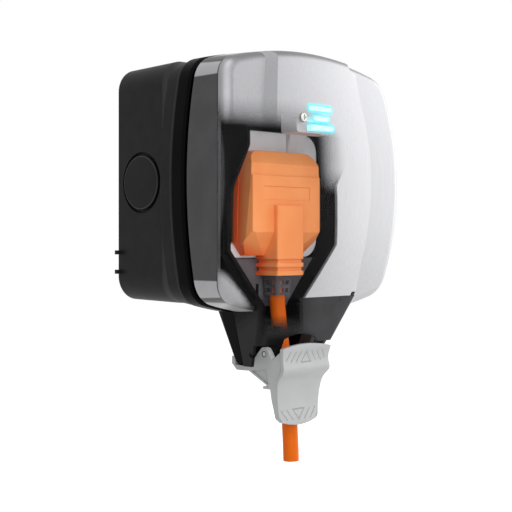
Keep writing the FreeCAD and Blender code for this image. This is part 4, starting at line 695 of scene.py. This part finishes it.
# %% Fuse
cap_start = 0.27
material, tree, shader, place = new_finish("glazed ceramic with plated caps", 0.2)
fuse_low, fuse_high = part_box("plug_fuse")
fuse_spans = [high - low for low, high in zip(fuse_low, fuse_high)]
fuse_axis = fuse_spans.index(max(fuse_spans))
fuse_middle = (fuse_low[fuse_axis] + fuse_high[fuse_axis]) / 2
split = add_node(tree, "ShaderNodeSeparateXYZ", {"Vector": place})
offset = join(tree, "SUBTRACT", split.outputs[fuse_axis], fuse_middle)
away = add_node(tree, "ShaderNodeMath", {0: offset}, operation="ABSOLUTE")
cap = join(tree, "GREATER_THAN", away.outputs[0], fuse_spans[fuse_axis] * cap_start)
shade = tint(tree, cap, mottle(tree, place, "#d8d2c2", "#e2dccd", 5.0), "#c4c4bf")
tree.links.new(shade, shader.inputs["Base Color"])
tree.links.new(cap, shader.inputs["Metallic"])
finishes["fuse_ceramic"] = material
print("fuse runs along axis", "XYZ"[fuse_axis])

# %% [markdown]
# ## Light bars
# The bars are light guides of clear plastic, lit from the board behind. They look nearly white
# with a hint of cyan, so they give off light of their own on top of a pale cyan colour.

# %% Light bars
bar_glow = 0.8
material, tree, shader, place = new_finish("lit cyan light guide", 0.25)
tree.links.new(mottle(tree, place, "#9eeef4", "#b8f7fb", 3.0), shader.inputs["Base Color"])
shader.inputs["Emission Color"].default_value = linear("#8ff2fa")
shader.inputs["Emission Strength"].default_value = bar_glow
finishes["bar_light"] = material
print("glow of the bars:", bar_glow)

# %% [markdown]
# ## Grip lines of the latch
# The latch's plate has shallow moulded lines for the thumb, near its top and near its foot. In
# each zone they fan out on both sides of a small arrow. The arrow is the outline of a triangle,
# and the slanted lines are the distance from its flank folded back and forth, so that they repeat
# at an even pitch. Both halves are drawn at once, because X is taken without its sign.

# %% Grip lines of the latch
grip_line_mm = 0.5
grip_half_width = 14.5 * mm
grip_clearance = 0.6


def grip_zone(tree, side, tip_z, base_z, half_width, pitch):
    """An arrow outline with slanted lines on both sides; side is the place with X mirrored."""
    height = abs(base_z - tip_z)
    points = 1.0 if base_z < tip_z else -1.0
    edge = Vector((height, 0.0, points * half_width)).normalized()
    along = add_node(tree, "ShaderNodeVectorMath", {0: side, 1: edge}, operation="DOT_PRODUCT")
    flank = join(tree, "SUBTRACT", along.outputs["Value"], edge.z * tip_z * mm)
    split = add_node(tree, "ShaderNodeSeparateXYZ", {"Vector": side})
    base = join(tree, "SUBTRACT", points * base_z * mm,
                join(tree, "MULTIPLY", split.outputs["Z"], points))
    arrow = thin_line(tree, join(tree, "MAXIMUM", flank, base), grip_line_mm)
    wave = add_node(tree, "ShaderNodeMath", {0: flank, 1: pitch * mm / 2}, operation="PINGPONG")
    rays = thin_line(tree, wave.outputs[0], grip_line_mm)
    from_middle = join(tree, "SUBTRACT", split.outputs["Z"], 0.5 * (tip_z + base_z) * mm)
    level = add_node(tree, "ShaderNodeMath", {0: from_middle}, operation="ABSOLUTE")
    inside = join(tree, "LESS_THAN", level.outputs[0], 0.5 * height * mm)
    beside = join(tree, "GREATER_THAN", flank, grip_clearance * pitch * mm)
    within = join(tree, "LESS_THAN", split.outputs["X"], grip_half_width)
    return join(tree, "MAXIMUM", arrow, join(tree, "MULTIPLY", rays, inside, beside, within))


print("grip lines are", grip_line_mm, "mm wide")

# %% [markdown]
# ## Latch
# The latch is a nylon moulding with a satin grey surface and softened edges. The grip lines are
# cut 0.35 mm deep, as bump, and only into the front of the plate, which lies more than 76 mm from
# the wall. A dark ring of painted shade marks the running gap round each pin.

# %% Latch plastic
plate_front_y = -76.0 * mm
grip_depth = 0.35 * mm
grip_shade = 0.35
material, tree, shader, place = new_finish("grey satin nylon", 0.4)
mirrored = add_node(tree, "ShaderNodeVectorMath", {0: place}, operation="ABSOLUTE")
upright = add_node(tree, "ShaderNodeVectorMath", {0: mirrored.outputs[0], 1: (1, 1, -1)},
                   operation="MULTIPLY")
lines = join(tree, "MAXIMUM", grip_zone(tree, upright.outputs[0], -87.6, -93.2, 3.4, 3.4),
             grip_zone(tree, upright.outputs[0], -123.6, -118.2, 4.2, 3.4))
depth = add_node(tree, "ShaderNodeSeparateXYZ", {"Vector": place}).outputs["Y"]
engraved = join(tree, "MULTIPLY", lines, join(tree, "LESS_THAN", depth, plate_front_y))
pin_low, pin_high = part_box("latch_pins")
pin_y, pin_z = [(pin_low[axis] + pin_high[axis]) / 2 for axis in (1, 2)]
# A ring of painted shade in the running gap round each pin.
pin_gap_shade = between(tree, from_axis(tree, place, pin_y, pin_z), 1.1, 1.6)
satin = tint(tree, pin_gap_shade, mottle(tree, place, "#a8a9aa", "#b0b1b2", 22.0), "#3a3b3c")
satin = tint(tree, join(tree, "MULTIPLY", engraved, grip_shade), satin, "#7d8082")
tree.links.new(satin, shader.inputs["Base Color"])
rounded = add_node(tree, "ShaderNodeBevel", {"Radius": 0.5 * mm}, samples=6)
bump = add_node(tree, "ShaderNodeBump", {
    "Height": engraved, "Strength": 1.0, "Distance": grip_depth,
    "Normal": rounded.outputs["Normal"]})
tree.links.new(bump.outputs["Normal"], shader.inputs["Normal"])
finishes["latch_plastic"] = material
print("finishes:", len(finishes))

# %% [markdown]
# ## Give every solid its finish
# Each CAD solid keeps its shape and gets the finish of its own name, if there is one, or else the
# finish of its slot. The cover and the board behind the light bars keep no light from the socket
# below them, so they throw no shadow and give back no light.

# %% Dress the solids


def dress(piece, material):
    """One material on a piece, in place of any that it had."""
    piece.data.materials.clear()
    piece.data.materials.append(material)


for name, node in frame["nodes"].items():
    dress(node, finishes.get(name) or finishes[slot_of[name]])
dress(power_cord, finishes["cord_rubber"])
for name in ("light_cover", "light_board"):
    frame["nodes"][name].visible_shadow = False
    frame["nodes"][name].visible_diffuse = False
print("solids dressed:", len(frame["nodes"]))

# %% Cord facts
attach(power_cord, "base")
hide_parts("cord")

# %% [markdown]
# ## Floor and backdrop
# The object hangs on a wall, but the photograph shows it on plain white, so the backdrop is the
# world itself. Rays from the camera, and those that a shiny or clear surface sends on, see white,
# and the surfaces are lit at a plainer level.

# %% Backdrop
plain_level = 0.5


def seen_directly(tree):
    """1 for rays from the camera, from a glossy surface or through a clear one."""
    path = add_node(tree, "ShaderNodeLightPath")
    return join(tree, "MAXIMUM", path.outputs["Is Camera Ray"], path.outputs["Is Glossy Ray"],
                path.outputs["Is Transmission Ray"])


world = bpy.data.worlds.new("studio")
world.use_nodes = True
bpy.context.scene.world = world
tree = world.node_tree
background = tree.nodes["Background"]
background.inputs["Color"].default_value = (1, 1, 1, 1)
level = add_node(tree, "ShaderNodeMapRange", {
    "Value": seen_directly(tree), "To Min": plain_level, "To Max": 1.0})
tree.links.new(level.outputs["Result"], background.inputs["Strength"])
print("light from the backdrop on the object:", plain_level)

# %% [markdown]
# The pale floor lies well below the object and keeps its shadow. It is matt, and it glows a little
# for the rays that see it directly, so that it fades into the white.

# %% Floor
floor_z = -0.30
floor_reach = 3.0
floor_glow = 0.6
floor_mesh = bpy.data.meshes.new("floor")
shape = bmesh.new()
bmesh.ops.create_grid(shape, x_segments=1, y_segments=1, size=floor_reach)
bmesh.ops.translate(shape, verts=shape.verts, vec=(0, 0, floor_z))
shape.to_mesh(floor_mesh)
shape.free()
floor = bpy.data.objects.new("floor", floor_mesh)
bpy.context.scene.collection.objects.link(floor)

floor_paint = bpy.data.materials.new("pale studio floor")
floor_paint.use_nodes = True
tree = floor_paint.node_tree
shader = tree.nodes["Principled BSDF"]
shader.inputs["Base Color"].default_value = linear("#e4e4e2")
shader.inputs["Roughness"].default_value = 0.8
shader.inputs["Emission Color"].default_value = (1, 1, 1, 1)
glow = join(tree, "MULTIPLY", seen_directly(tree), floor_glow)
tree.links.new(glow, shader.inputs["Emission Strength"])
floor.data.materials.append(floor_paint)
print("floor height, mm:", round(floor_z / mm))

# %% [markdown]
# ## Lamps
# Three large soft boxes light the object, as in a product studio: the key from the front left, a
# second from the right that opens the shadows, and a weak one from above. Large lamps give the
# coat broad, soft reflections. Each faces the object's middle.

# %% Lamps
object_middle = (0.0, -0.05, -0.02)
# The place of each lamp in metres, the side of its square and its power in watts.
lamps = {
    "key": ((-0.60, -1.30, 0.50), 1.6, 11.5),
    "right": ((1.30, -0.50, 0.35), 1.3, 10.0),
    "top": ((-0.10, -0.35, 1.20), 0.8, 4.0),
}
for name, (lamp_place, size, power) in lamps.items():
    data = bpy.data.lights.new(name, "AREA")
    data.shape = "SQUARE"
    data.size = size
    data.energy = power
    lamp = bpy.data.objects.new(name, data)
    lamp.location = lamp_place
    toward = Vector(object_middle) - Vector(lamp_place)
    lamp.rotation_euler = toward.to_track_quat("-Z", "Y").to_euler()
    bpy.context.scene.collection.objects.link(lamp)
bpy.context.scene.view_settings.view_transform = "Standard"
print("lamps:", sorted(lamps))
